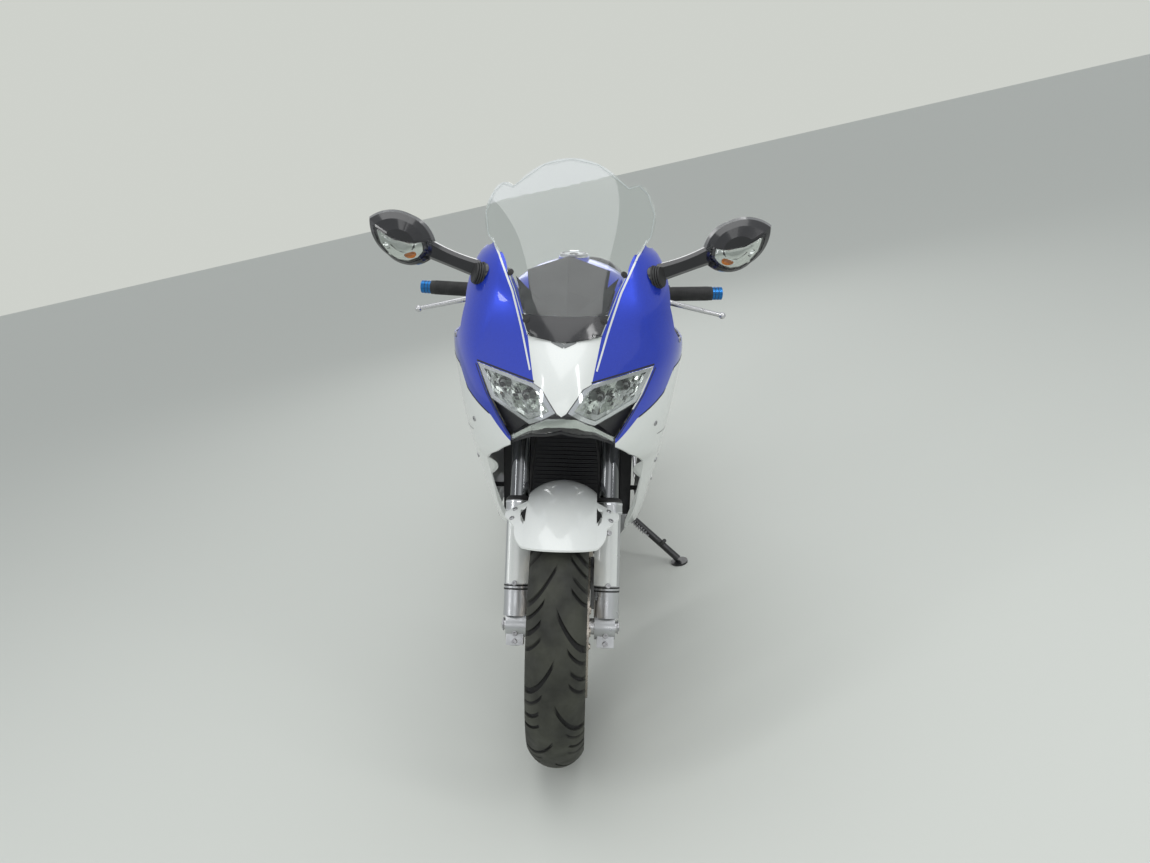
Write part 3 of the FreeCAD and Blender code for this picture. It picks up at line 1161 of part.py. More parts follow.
def chain():
    """The drive chain as a fixed loop: an inner band with the wide outer links along it."""
    pitch = size("chain_pitch")
    line = size("rear_sprocket_place")
    front = Vector(line, size("swingarm_pivot_back") - 60, 385)
    rear = Vector(line, REAR_AXLE.y, REAR_AXLE.z)
    front_radius = pitch / 2 / math.sin(math.pi / size("front_teeth"))
    rear_radius = pitch / 2 / math.sin(math.pi / size("rear_teeth"))
    across = rear - front
    distance = across.Length
    slope = math.atan2(across.z, across.y)
    splay = math.asin((rear_radius - front_radius) / distance)
    straight = distance * math.cos(splay)
    front_wrap = (math.pi - 2 * splay) * front_radius
    rear_wrap = (math.pi + 2 * splay) * rear_radius
    total = 2 * straight + front_wrap + rear_wrap
    count = 2 * round(total / pitch / 2)
    step = total / count

    def at(travel):
        """A point and heading on the pitch line; it starts on the top run at the front sprocket."""
        travel %= total
        top = slope + math.pi / 2 + splay
        if travel < straight:
            start = front + Vector(0, math.cos(top), math.sin(top)) * front_radius
            heading = top - math.pi / 2
            return start + Vector(0, math.cos(heading), math.sin(heading)) * travel, heading
        travel -= straight
        if travel < rear_wrap:
            angle = top - travel / rear_radius
            return rear + Vector(0, math.cos(angle), math.sin(angle)) * rear_radius, angle - math.pi / 2
        travel -= rear_wrap
        bottom = slope - math.pi / 2 - splay
        if travel < straight:
            start = rear + Vector(0, math.cos(bottom), math.sin(bottom)) * rear_radius
            heading = bottom - math.pi / 2
            return start + Vector(0, math.cos(heading), math.sin(heading)) * travel, heading
        travel -= straight
        angle = bottom - travel / front_radius
        return front + Vector(0, math.cos(angle), math.sin(angle)) * front_radius, angle - math.pi / 2

    tall = size("chain_height")
    narrow = 0.7 * size("chain_width")
    rims = []
    for out in (tall / 2, -tall / 2):
        top = Vector(0, -math.sin(slope + splay), math.cos(slope + splay))
        foot = Vector(0, math.sin(slope - splay), -math.cos(slope - splay))
        ahead = Vector(0, math.cos(slope), math.sin(slope))
        near, far = front_radius + out, rear_radius + out
        path = [front + top * near, rear + top * far, rear + foot * far, front + foot * near]
        edges = [Part.LineSegment(path[0], path[1]), Part.Arc(path[1], rear + ahead * far, path[2]),
                 Part.LineSegment(path[2], path[3]), Part.Arc(path[3], front - ahead * near, path[0])]
        rims.append(Part.Face(Part.Wire([edge.toShape() for edge in edges])))
    band = rims[0].cut(rims[1])
    band.translate(ACROSS * (-narrow / 2))
    links = [band.extrude(ACROSS * narrow)]
    for number in range(0, count, 2):
        place, heading = at((number + 0.5) * step)
        wide = size("chain_width")
        length = step + 2
        link = Part.makeBox(wide, length, tall + 1, Vector(-wide / 2, -length / 2, -(tall + 1) / 2))
        link.rotate(Vector(), ACROSS, math.degrees(heading))
        link.translate(place)
        links.append(link)
    feature("drive_chain", links[0].multiFuse(links[1:]))
    print("chain links:", count)


def footrests(frame_shape, subframe):
    """Rider's and pillion's pegs on their hangers, with the gear and brake pedals."""
    pivot_y = size("swingarm_pivot_back")
    plate_side = size("rear_sprocket_place") + 18
    plate_path = [(pivot_y - 24, 520), (pivot_y + 42, 520), (pivot_y + 176, 398), (pivot_y + 176, 322),
                  (pivot_y + 124, 322), (pivot_y + 20, 450), (pivot_y - 24, 470)]
    plate = side_prism(plate_path, plate_side, plate_side + 7)
    studs = [rod(Vector(120, y, 492), Vector(plate_side + 3, y, 492), 9) for y in (pivot_y - 6, pivot_y + 24)]
    root, toe = pivot_y + 130, pivot_y - 18
    peg = taper(Vector(plate_side + 4, root + 20, 346), Vector(plate_side + 96, root + 20, 346), 11, 9)
    pedal = [rod(Vector(plate_side + 14, root, 340), Vector(plate_side + 14, toe, 322), 6),
             rod(Vector(plate_side + 10, toe, 322), Vector(plate_side + 66, toe, 322), 8),
             rod(Vector(plate_side, root, 340), Vector(plate_side + 18, root, 340), 8)]
    rider_side = fused([plate, peg] + studs + pedal)
    pillion_side = fused([pillion_hanger(), taper(Vector(154, 560, 564), Vector(248, 560, 564), 11, 9)])
    pieces = []
    for piece in both(rider_side) + both(pillion_side):
        trimmed = piece.cut(frame_shape).cut(subframe)
        pieces.append(max(trimmed.Solids, key=lambda item: item.Volume))
    feature("footrests", Part.makeCompound(pieces))


def front_stay(solids_round_it):
    """The bracket from the head tube that carries the nose, the lamps and the instruments."""
    head = fork_point((size("lower_yoke_place") + size("upper_yoke_place")) / 2)
    beam = block((-20, FRONT + 40, head.z - 26), (20, head.y - 10, head.z + 8))
    bar = rod(Vector(-150, FRONT + 62, head.z - 8), Vector(150, FRONT + 62, head.z - 8), 9)
    post = block((-16, FRONT + 78, head.z), (16, FRONT + 108, 1000))
    stay = fused([beam, bar, post])
    for solid in solids_round_it:
        stay = stay.cut(solid)
    feature("fairing_stay", max(stay.Solids, key=lambda piece: piece.Volume))


def cockpit(inner):
    """The instrument hood behind the screen, and the trim panels inside the cowls' upper edges."""
    rings = []
    for place, points in ((FRONT + 8, [(-60, 934), (60, 934), (66, 960), (0, 972), (-66, 960)]),
                          (FRONT + 110, [(-74, 950), (74, 950), (78, 1010), (0, 1034), (-78, 1010)]),
                          (FRONT + 196, [(-80, 1004), (80, 1004), (90, 1066), (0, 1097), (-90, 1066)])):
        rings.append(wire(points, lambda p, y=place: Vector(p[0], y, p[1])))
    hood = Part.makeLoft(rings, True, True)
    edge = [(236, 912), (430, 892), (590, 846), (590, 850), (430, 896), (236, 916)]
    panel = side_prism(behind(edge), 0, 300)
    reach = plan_prism([(176, FRONT + 236), (158, FRONT + 430), (176, FRONT + 590), (300, FRONT + 590),
                        (300, FRONT + 236)], 700, 1000)
    panel = max(panel.common(reach).common(inner).Solids, key=lambda piece: piece.Volume)
    feature("cockpit", Part.makeCompound([hood] + both(panel)))
    return hood


wheels()
rear_hub_pieces()
leg_shape = fork_legs()
front_axle()
yokes()
handlebars()
levers()
front_fender(leg_shape)
caliper_shape = front_calipers(leg_shape)
brake_hoses(caliper_shape)
fairing()
mirrors()
frame_shape = frame()
side_stand()
engine_shape = engine(frame_shape)
radiator(engine_shape, skin(size("shell_thickness") + GAP))
exhaust(engine_shape)
tank(frame_shape)
subframe_shape = seat_rails(frame_shape)
tail_fittings(tail(subframe_shape), subframe_shape)
arm_shape = swingarm(frame_shape)
rear_shock([frame_shape, arm_shape, subframe_shape, engine_shape])
chain()
footrests(frame_shape, subframe_shape)
hood_shape = cockpit(skin(size("shell_thickness") + GAP))
front_stay([frame_shape, hood_shape] + PARTS["headlamp_reflectors"][0].Shape.Solids)


def park():
    """Leans the finished machine over on its stand and puts its origin under its middle."""
    front, rear = floor_height()
    pitch = math.degrees(math.asin((rear - front) / size("wheelbase")))
    lean = Placement(Vector(), Rotation(Vector(0, 1, 0), size("lean_angle")))
    level = Placement(Vector(0, 0, (front + rear) / 2), Rotation(ACROSS, pitch))
    leaned = level.multiply(lean)
    reach = FreeCAD.BoundBox()
    for item, place in PARTS.values():
        shape = item.Shape.copy()
        shape.Placement = leaned.multiply(place)
        reach.add(shape.optimalBoundingBox(False))
    shift = Placement(Vector(-(reach.XMin + reach.XMax) / 2, -(reach.YMin + reach.YMax) / 2, 0), Rotation())
    whole = shift.multiply(leaned)
    for item, place in PARTS.values():
        item.Placement = whole.multiply(place)
    return whole


def tell(whole):
    """Prints the joints' and mounts' places in the parked frame, in metres, for the record."""
    pivot, axis, _ = stand_line()
    lid = Vector(0, -108, 1055)
    lines = [("steering", fork_point(size("lower_yoke_place")), UP_FORK), ("front_wheel", FRONT_AXLE, ACROSS),
             ("rear_wheel", REAR_AXLE, ACROSS), ("side_stand", pivot, axis), ("fuel_cap", lid, ACROSS * -1)]
    for name, point, direction in lines:
        spot = whole.multVec(point) * 0.001
        way = whole.Rotation.multVec(direction)
        print("PLACE", name, *(round(v, 6) for v in (spot.x, spot.y, spot.z, way.x, way.y, way.z)))


doc.recompute()
whole_place = park()
doc.recompute()
for item in doc.Objects:
    if "Invalid" in item.State or "Error" in item.State:
        raise RuntimeError(f"{item.Name} did not build: {item.State}")
for label, (item, place) in PARTS.items():
    shape = item.Shape
    if shape.isNull() or not shape.isValid():
        raise RuntimeError(f"{label} has no valid form")
    shape.exportStep(f"parts/{label}.step")
tell(whole_place)
print("sub-parts:", len(PARTS))
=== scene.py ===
# %% [markdown]
# # A faired sport motorcycle, dressed around its construction model
#
# The construction model gives every rigid piece at its real size, parked on its side stand.
# This lesson gives each piece its finish and adds what is too fine for construction: the
# tread, the lamps' facets, the cushions' seams, the bolts, hoses and clips.

import json
from collections import defaultdict
from math import asin, atan2, ceil, copysign, cos, degrees, hypot, pi, radians, sin

import bmesh
import bpy
from mathutils import Matrix, Vector
from mathutils.bvhtree import BVHTree


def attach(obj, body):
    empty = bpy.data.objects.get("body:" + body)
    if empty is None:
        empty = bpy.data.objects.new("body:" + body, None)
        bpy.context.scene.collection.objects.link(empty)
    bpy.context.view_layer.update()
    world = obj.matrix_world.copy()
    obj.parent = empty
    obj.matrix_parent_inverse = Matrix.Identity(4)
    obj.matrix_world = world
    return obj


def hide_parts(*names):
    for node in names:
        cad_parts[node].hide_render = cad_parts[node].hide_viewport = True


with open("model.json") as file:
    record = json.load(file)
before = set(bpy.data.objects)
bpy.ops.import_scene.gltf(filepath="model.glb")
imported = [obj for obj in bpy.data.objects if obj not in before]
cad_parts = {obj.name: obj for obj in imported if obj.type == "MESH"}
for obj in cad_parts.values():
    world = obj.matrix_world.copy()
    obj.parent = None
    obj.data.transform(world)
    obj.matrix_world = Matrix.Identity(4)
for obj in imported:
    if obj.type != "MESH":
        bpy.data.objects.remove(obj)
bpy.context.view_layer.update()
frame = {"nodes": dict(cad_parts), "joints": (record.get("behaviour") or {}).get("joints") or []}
NODES = frame["nodes"]
JOINTS = {row["name"]: row for row in frame["joints"]}
print("nodes loaded:", len(NODES))

# %% [markdown]
# ## The upright machine
#
# A parked motorcycle leans, and a leaning thing is awkward to model. So every new piece is
# drawn on the upright machine, where +X is its left, +Y its rear and Z = 0 the ground, and one
# matrix then leans it over. The matrix comes from the two hubs, whose upright places are
# known, and whose parked places are in the frame's joints.

# %% Upright coordinates to parked ones
WHEELBASE = 1.46
FRONT_RADIUS, REAR_RADIUS = 0.300, 0.315
FRONT, REAR = -WHEELBASE / 2, WHEELBASE / 2
RAKE, TRAIL = radians(25.5), 0.095


def vec(x, y, z):
    """A point or a direction from its three numbers."""
    return Vector((x, y, z))


def mm(*numbers):
    """Points of two numbers each, from a flat row in millimetres."""
    return [(a / 1000, b / 1000) for a, b in zip(numbers[::2], numbers[1::2])]


def turned_axes(across, along):
    """The three axes of a body that lies across one way and along another, as columns."""
    along = (along - across * along.dot(across)).normalized()
    return Matrix((across, along, across.cross(along))).transposed()


def parked_matrix():
    """Carries a point of the upright machine to its place on the parked one."""
    spin, front_hub = JOINTS["front_wheel_spin"], vec(0, FRONT, FRONT_RADIUS)
    parked_hub = Vector(spin["pos_m"])
    parked_along = Vector(JOINTS["rear_wheel_spin"]["pos_m"]) - parked_hub
    parked_axes = turned_axes(Vector(spin["axis"]).normalized(), parked_along)
    upright_axes = turned_axes(vec(1, 0, 0), vec(0, REAR, REAR_RADIUS) - front_hub)
    turn = parked_axes @ upright_axes.transposed()
    return Matrix.Translation(parked_hub - turn @ front_hub) @ turn.to_4x4()


PARKED = parked_matrix()
UPRIGHT = PARKED.inverted()
print("lean in degrees:", round(degrees(PARKED.to_euler().y), 2))

# %% [markdown]
# ## The camera
#
# The photograph was taken from in front of the machine, a little to its left, and the camera
# was turned until the leaning machine looked upright. So the camera is placed against the
# upright machine and leaned over with it. Only its view counts here: the size of the picture
# is set when the scene is rendered.

# %% Camera
PHOTO_WIDTH, FOCAL_PIXELS, SENSOR = 1150, 870.1, 36.0
CAMERA_PLACE = (0.0625, -2.4477, 1.3386)
CAMERA_TURNS = ((1.275, "Z"), (90 - 18.567, "X"), (1.092, "Z"))


def linked(name, data):
    """A new object in the scene."""
    item = bpy.data.objects.new(name, data)
    bpy.context.scene.collection.objects.link(item)
    return item


lens_data = bpy.data.cameras.new("photo_camera")
lens_data.sensor_width = SENSOR
lens_data.lens = FOCAL_PIXELS / PHOTO_WIDTH * SENSOR
view = PARKED @ Matrix.Translation(CAMERA_PLACE)
for angle, axis in CAMERA_TURNS:
    view = view @ Matrix.Rotation(radians(angle), 4, axis)
camera = linked("photo_camera", lens_data)
camera.matrix_world = view
bpy.context.scene.camera = camera
print("focal length in millimetres:", round(lens_data.lens, 2))

# %% [markdown]
# ## Building finishes
#
# A finish starts from a plain shader whose fixed numbers sit on its own sockets. Layers are
# then added one at a time: a colour that drifts, a gloss that drifts, a grain or cells in the
# surface. All of them read Object coordinates, so they stay on the piece from every side.
#
# Pictures wrapped on the pieces would do as well, but they need a layout for each piece and
# blur close by, while a pattern in space needs neither.

# %% Finish helpers
DRIFT_FROM, DRIFT_TO = 0.35, 0.65
GLOSS_FROM, GLOSS_TO = 0.3, 0.7
EVEN = (1, 1, 1)
FINISHES = {}


def fixed(node, **numbers):
    """Sets fixed numbers on a node's sockets; an underline in a name stands for a blank."""
    for socket, value in numbers.items():
        node.inputs[socket.replace("_", " ")].default_value = value
    return node


def pattern(tree, kind, stretch, **numbers):
    """A pattern read from the piece's own coordinates; its scale counts waves in a metre."""
    place = tree.nodes.new("ShaderNodeTexCoord")
    mapping = fixed(tree.nodes.new("ShaderNodeMapping"), Scale=stretch)
    texture = fixed(tree.nodes.new(kind), **numbers)
    tree.links.new(place.outputs["Object"], mapping.inputs["Vector"])
    tree.links.new(mapping.outputs["Vector"], texture.inputs["Vector"])
    return texture.outputs


def noise(tree, scale, detail=2.0, stretch=EVEN):
    """A cloudy pattern."""
    return pattern(tree, "ShaderNodeTexNoise", stretch, Scale=scale, Detail=detail)["Fac"]


def drift_colour(tree, shader, colour_a, colour_b, scale, detail):
    """The colour drifts between two near ones."""
    ramp = tree.nodes.new("ShaderNodeValToRGB")
    ends = ramp.color_ramp.elements
    ends[0].position, ends[1].position = DRIFT_FROM, DRIFT_TO
    ends[0].color, ends[1].color = (*colour_a, 1), (*colour_b, 1)
    tree.links.new(noise(tree, scale, detail), ramp.inputs["Fac"])
    tree.links.new(ramp.outputs["Color"], shader.inputs["Base Color"])


def drift_gloss(tree, shader, rough_a, rough_b, scale, stretch=EVEN):
    """The roughness drifts between two values, as on handled or dusty surfaces."""
    spread = fixed(tree.nodes.new("ShaderNodeMapRange"), From_Min=GLOSS_FROM, From_Max=GLOSS_TO,
                   To_Min=rough_a, To_Max=rough_b)
    tree.links.new(noise(tree, scale, 3.0, stretch), spread.inputs["Value"])
    tree.links.new(spread.outputs["Result"], shader.inputs["Roughness"])


def relief(tree, shader, height, depth):
    """Adds a height to the surface; depth is the relief in metres."""
    bump = fixed(tree.nodes.new("ShaderNodeBump"), Distance=depth, Strength=1.0)
    tree.links.new(height, bump.inputs["Height"])
    tree.links.new(bump.outputs["Normal"], shader.inputs["Normal"])


# %% A material from its layers
def finish(name, colour, roughness, metallic=0.0, drift=None, gloss=None, grain=None, cells=None, **numbers):
    """A material: fixed numbers, then the layers that are asked for.

    drift is two colours, a scale and a detail; gloss is two roughnesses, a scale and perhaps a
    stretch; grain is a scale, a depth and perhaps a detail and a stretch; cells is a scale and
    a depth.
    """
    material = bpy.data.materials.new(name)
    material.use_nodes = True
    tree = material.node_tree
    shader = fixed(tree.nodes["Principled BSDF"], Base_Color=(*colour, 1), Roughness=roughness,
                   Metallic=metallic, **numbers)
    if drift:
        drift_colour(tree, shader, *drift)
    if gloss:
        drift_gloss(tree, shader, *gloss)
    if grain:
        relief(tree, shader, noise(tree, grain[0], *grain[2:]), grain[1])
    if cells:
        distance = pattern(tree, "ShaderNodeTexVoronoi", EVEN, Scale=cells[0])["Distance"]
        relief(tree, shader, distance, cells[1])
    FINISHES[name] = material
    return material


# %% [markdown]
# ## Stage and light
#
# A plain pale floor, a pale surround and a few large soft lamps. One wide lamp overhead and a
# long one on each side draw the bright streaks that make lacquer and a clear screen look shiny.
#
# The surround has two strengths: a soft one that lights the machine, and the pale one that the
# eye sees, so that the background can be bright without bleaching the paint.

# %% Floor, surround and lamps
PALE = (0.62, 0.64, 0.60)
FLOOR_SIZE = 30.0
LAMPS = [
    # name, place, what it faces, width and height, watts
    ("overhead_lamp", (0.3, -0.6, 3.4), (0, -0.1, 0.5), (2.4, 3.4), 34),
    ("left_strip", (2.4, -2.4, 2.3), (0, -0.4, 0.7), (0.35, 2.4), 20),
    ("right_strip", (-2.6, -2.2, 2.3), (0, -0.4, 0.7), (0.35, 2.4), 18),
    ("front_fill", (0.2, -4.6, 2.2), (0, -0.3, 0.6), (3.0, 1.4), 14),
    ("rear_fill", (0.0, 3.8, 2.4), (0, 0.2, 0.6), (3.0, 1.6), 22),
]


# %% A floor, and a surround with two strengths
def make_floor():
    """One large plane at the tyres' feet."""
    grid, mesh = bmesh.new(), bpy.data.meshes.new("floor")
    bmesh.ops.create_grid(grid, x_segments=1, y_segments=1, size=FLOOR_SIZE)
    grid.to_mesh(mesh)
    grid.free()
    mesh.materials.append(finish("pale_floor", PALE, 0.75))
    floor = linked("floor", mesh)


def make_surround():
    """A world that lights the machine softly and shows the eye a pale wall."""
    world = bpy.data.worlds.new("soft_room")
    world.use_nodes = True
    nodes, link = world.node_tree.nodes, world.node_tree.links.new
    nodes.clear()
    light = fixed(nodes.new("ShaderNodeBackground"), Color=(0.95, 0.98, 1.0, 1), Strength=0.62)
    seen = fixed(nodes.new("ShaderNodeBackground"), Color=(*PALE, 1), Strength=1.0)
    path, mix = nodes.new("ShaderNodeLightPath"), nodes.new("ShaderNodeMixShader")
    output = nodes.new("ShaderNodeOutputWorld")
    link(path.outputs["Is Camera Ray"], mix.inputs["Fac"])
    link(light.outputs["Background"], mix.inputs[1])
    link(seen.outputs["Background"], mix.inputs[2])
    link(mix.outputs["Shader"], output.inputs["Surface"])
    bpy.context.scene.world = world


# %% Light the machine
make_floor()
make_surround()
for name, place, target, size, watts in LAMPS:
    light_data = bpy.data.lights.new(name, "AREA")
    light_data.shape = "RECTANGLE"
    light_data.size, light_data.size_y = size
    light_data.energy = watts
    lamp = linked(name, light_data)
    lamp.location = place
    lamp.rotation_euler = (Vector(target) - Vector(place)).to_track_quat("-Z", "Y").to_euler()
bpy.context.scene.view_settings.view_transform = "Standard"
print("lamps, with their watts:", {row[0]: row[-1] for row in LAMPS})

# %% [markdown]
# ## The finishes of this machine
#
# Lacquered panels have a coloured base under a clear coat. The blue is a metallic: its
# flakes are a very fine noise in the base, while the clear coat above stays smooth. Bare and
# painted metals differ in how far their gloss drifts, and rubber and seat covers in their
# grain.

# %% Lacquer, plastic, paint and plated metal
finish("royal_blue", (0.012, 0.045, 0.56), 0.30, 0.62, grain=(9, 0.00025, 1.0),
       drift=((0.008, 0.032, 0.46), (0.018, 0.062, 0.66), 1500, 1.0), Coat_Weight=1.0, Coat_Roughness=0.03)
finish("pearl_white", (0.74, 0.77, 0.75), 0.32, drift=((0.72, 0.75, 0.74), (0.76, 0.78, 0.75), 700, 1.0),
       Coat_Weight=1.0, Coat_Roughness=0.03)
finish("black_moulding", (0.018, 0.018, 0.02), 0.5, gloss=(0.42, 0.62, 30), cells=(900, 0.0003))
finish("gloss_black", (0.012, 0.012, 0.014), 0.18, gloss=(0.12, 0.28, 24), Coat_Weight=0.5,
       Coat_Roughness=0.06)
finish("grey_trim", (0.16, 0.17, 0.17), 0.35, gloss=(0.28, 0.42, 30))
finish("red_plastic", (0.55, 0.02, 0.015), 0.35, gloss=(0.3, 0.42, 60))
finish("painted_steel", (0.015, 0.015, 0.016), 0.38, gloss=(0.3, 0.46, 35), grain=(300, 0.00008),
       Coat_Weight=0.25)
finish("stainless", (0.42, 0.39, 0.35), 0.3, 1.0, drift=((0.30, 0.25, 0.20), (0.50, 0.47, 0.43), 6, 4.0),
       gloss=(0.22, 0.42, 50))
finish("polished", (0.75, 0.76, 0.78), 0.08, 1.0, gloss=(0.05, 0.14, 30))
# fork tubes: chrome darkened, partly their own dark tone and partly a painted reflection of dark surroundings
finish("dark_chrome", (0.16, 0.165, 0.17), 0.12, 1.0, gloss=(0.09, 0.16, 40))
finish("lamp_chrome", (0.58, 0.61, 0.58), 0.07, 1.0, gloss=(0.05, 0.12, 40))
finish("mirror_glass", (0.86, 0.88, 0.90), 0.02, 1.0, gloss=(0.01, 0.03, 20))
finish("reflector", (0.70, 0.71, 0.73), 0.12, 1.0, grain=(60, 0.0004))

# %% Satin cast metals with the faint pebble of the mould, and machined ones with fine lines
CAST = {"dark_alloy": ((0.06, 0.06, 0.065), 0.42), "engine_alloy": ((0.10, 0.10, 0.105), 0.5),
        "cover_alloy": ((0.26, 0.26, 0.27), 0.4), "wheel_alloy": ((0.10, 0.10, 0.105), 0.35),
        "silver_alloy": ((0.50, 0.51, 0.52), 0.34), "chain_steel": ((0.30, 0.28, 0.24), 0.4),
        "bolt_steel": ((0.42, 0.42, 0.43), 0.34), "fin_alloy": ((0.045, 0.045, 0.05), 0.5)}
MACHINED = {"bare_alloy": ((0.60, 0.60, 0.61), (1, 0.1, 1)), "anodised_blue": ((0.03, 0.16, 0.42), EVEN),
            "disc_steel": ((0.55, 0.50, 0.44), EVEN)}
for name, (colour, rough) in CAST.items():
    finish(name, colour, rough, 0.85, gloss=(rough - 0.08, rough + 0.12, 40), grain=(600, 0.00012))
for name, (colour, lines) in MACHINED.items():
    finish(name, colour, 0.3, 1.0, gloss=(0.22, 0.4, 60, lines), grain=(500, 0.00006, 2.0, lines))

# %% Rubber, covers, lenses and lights
finish("soft_rubber", (0.018, 0.018, 0.018), 0.6, gloss=(0.5, 0.72, 60), grain=(1200, 0.0001))
finish("seat_cover", (0.02, 0.02, 0.022), 0.5, gloss=(0.42, 0.6, 20), cells=(420, 0.0005), Sheen_Weight=0.15)
# near black: painted shade in the fender's pockets, and soot with painted shade in the outlet
finish("soot_and_painted_shade", (0.006, 0.006, 0.006), 0.9, grain=(300, 0.0002))
finish("frosted", (0.86, 0.88, 0.88), 0.3, grain=(500, 0.0001), Transmission_Weight=0.4)
finish("amber", (0.85, 0.28, 0.04), 0.2, grain=(300, 0.0002), Transmission_Weight=0.5)
finish("light_guide", (0.9, 0.92, 0.94), 0.25, grain=(400, 0.0001), Emission_Color=(0.9, 0.95, 1.0, 1),
       Emission_Strength=0.35)
# light grey paint for the highlight along the screen's cut edge
finish("painted_edge_highlight", (0.42, 0.47, 0.46), 0.2, grain=(600, 0.00005), Coat_Weight=0.6)
finish("blue_glass", (0.02, 0.03, 0.05), 0.08, gloss=(0.06, 0.14, 20), Coat_Weight=1.0, Coat_Roughness=0.02)
CLEAR = {"clear_lens": ((0.96, 0.97, 0.97), 0.0), "clear_screen": ((0.93, 0.96, 0.94), 0.0),
         "red_lens": ((0.6, 0.01, 0.01), 0.05)}
for name, (colour, rough) in CLEAR.items():
    finish(name, colour, rough, gloss=(0.0, 0.03, 12), Transmission_Weight=1.0, IOR=1.49)


# %% Rubber of the tyres
def tyre_rubber():
    """Road rubber, dusty and slightly brown, with painted shade that darkens it in its grooves."""
    material = finish("tyre_rubber", (0.04, 0.04, 0.036), 0.75, gloss=(0.62, 0.85, 40), grain=(900, 0.00015),
                      drift=((0.018, 0.019, 0.015), (0.046, 0.048, 0.036), 14, 6.0))
    nodes, link = material.node_tree.nodes, material.node_tree.links.new
    groove_shade, mix = nodes.new("ShaderNodeAttribute"), nodes.new("ShaderNodeMix")
    groove_shade.attribute_name = "groove_shade"
    mix.data_type = "RGBA"
    # painted shade: where the tread is cut deep, the rubber turns near black
    mix.inputs["B"].default_value = (0.004, 0.004, 0.004, 1)
    colour = nodes["Principled BSDF"].inputs["Base Color"]
    link(colour.links[0].from_socket, mix.inputs["A"])
    link(groove_shade.outputs["Fac"], mix.inputs["Factor"])
    link(mix.outputs["Result"], colour)


tyre_rubber()

print("finishes made:", len(FINISHES))

# %% [markdown]
# ## Finishing the construction pieces
#
# Each construction piece keeps its shape and takes one of the finishes.
#
# A line for each piece would do, but a table with a row for each finish shows at a glance
# which pieces share one. Whatever a piece wore before is cleared first.

# %% Finishes for the frame's own nodes
NODE_FINISH = {
    "pearl_white": ["nose_cowl", "lower_fairing_left", "lower_fairing_right", "front_fender", "tail_cowl"],
    "royal_blue": ["side_cowl_left", "side_cowl_right", "fuel_tank"],
    "black_moulding": ["cockpit", "rear_mudguard", "nose_inner", "radiator"],
    "gloss_black": ["mirror_left", "mirror_right"],
    "dark_alloy": ["frame", "yokes"],
    "engine_alloy": ["engine"],
    "cover_alloy": ["engine_covers", "front_calipers", "rear_caliper"],
    "wheel_alloy": ["front_rim", "rear_rim"],
    "silver_alloy": ["fork_legs"],
    "bare_alloy": ["swingarm", "footrests", "levers", "front_axle"],
    "anodised_blue": ["bar_ends"],
    "polished": ["fuel_cap"],
    "painted_steel": ["rear_subframe", "fairing_stay", "grab_rail", "handlebars", "side_stand", "rear_shock"],
    "stainless": ["exhaust_pipes", "silencer"],
    "chain_steel": ["drive_chain", "rear_sprocket"],
    "disc_steel": ["front_discs", "rear_disc"],
    "tyre_rubber": ["front_tyre", "rear_tyre"],
    "soft_rubber": ["grips", "brake_hoses"],
    "seat_cover": ["rider_seat", "pillion_seat"],
    "clear_lens": ["headlamps", "position_lamp"],
    "clear_screen": ["windscreen"],
    "red_lens": ["tail_lamp"],
    "reflector": ["headlamp_reflectors"],
}
for finish_name, node_names in NODE_FINISH.items():
    for node_name in node_names:
        materials = NODES[node_name].data.materials
        materials.clear()
        materials.append(FINISHES[finish_name])
print("nodes without a finish:", sorted(set(NODES) - set(sum(NODE_FINISH.values(), []))))

# %% [markdown]
# ## Modelling helpers
#
# Each piece starts as an empty form on the upright machine, gets its shapes added one by one,
# and is then leaned over, linked and joined to the body that it moves with. What turns with
# the bars is drawn along the steering axis instead, where the fork legs stand straight up.
#
# A form could also be an object with a place and a turn of its own. It is baked into the
# mesh instead, because patterns read from the mesh's own coordinates would slide otherwise.

# %% From a drawn form to a piece of the machine
STEER = Matrix.Translation((0, FRONT - TRAIL, 0)) @ Matrix.Rotation(-RAKE, 4, "X")
FORK_OFFSET = FRONT_RADIUS * sin(RAKE) - TRAIL * cos(RAKE)
FRONT_HUB = Matrix.Translation((0, FRONT, FRONT_RADIUS))
REAR_HUB = Matrix.Translation((0, REAR, REAR_RADIUS))
ACROSS = Matrix.Rotation(pi / 2, 4, "Y")
SIDES = ((1, "left"), (-1, "right"))
BACKWARD = (0, 1, 0)
VIEW_Y = FRONT - 0.5
print("fork offset in metres:", round(FORK_OFFSET, 4))
RUBBER, STEEL = ("soft_rubber", "rubber"), ("bolt_steel", "bare_alloy")
PLASTIC, CHROME = ("black_moulding", "black_plastic"), ("lamp_chrome", "reflector")
LENS, AMBER = ("clear_lens", "clear_lens"), ("amber", "clear_lens")
forms = defaultdict(bmesh.new)


def piece(name, finish_name, body, sharp=35, frame_of=Matrix()):
    """Leans a finished form over and lets it ride on a body of the machine."""
    mesh = forms.pop(name)
    bmesh.ops.remove_doubles(mesh, verts=mesh.verts, dist=0.00003)
    bmesh.ops.recalc_face_normals(mesh, faces=mesh.faces)
    bmesh.ops.transform(mesh, matrix=PARKED @ frame_of, verts=mesh.verts)
    data = bpy.data.meshes.new(name)
    mesh.to_mesh(data)
    mesh.free()
    for polygon in data.polygons:
        polygon.use_smooth = True
    data.set_sharp_from_angle(angle=radians(sharp))
    data.materials.append(FINISHES[finish_name])
    item = linked(name, data)
    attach(item, body)
    print(name, "rides on", body + ", faces:", len(data.polygons))
    return item


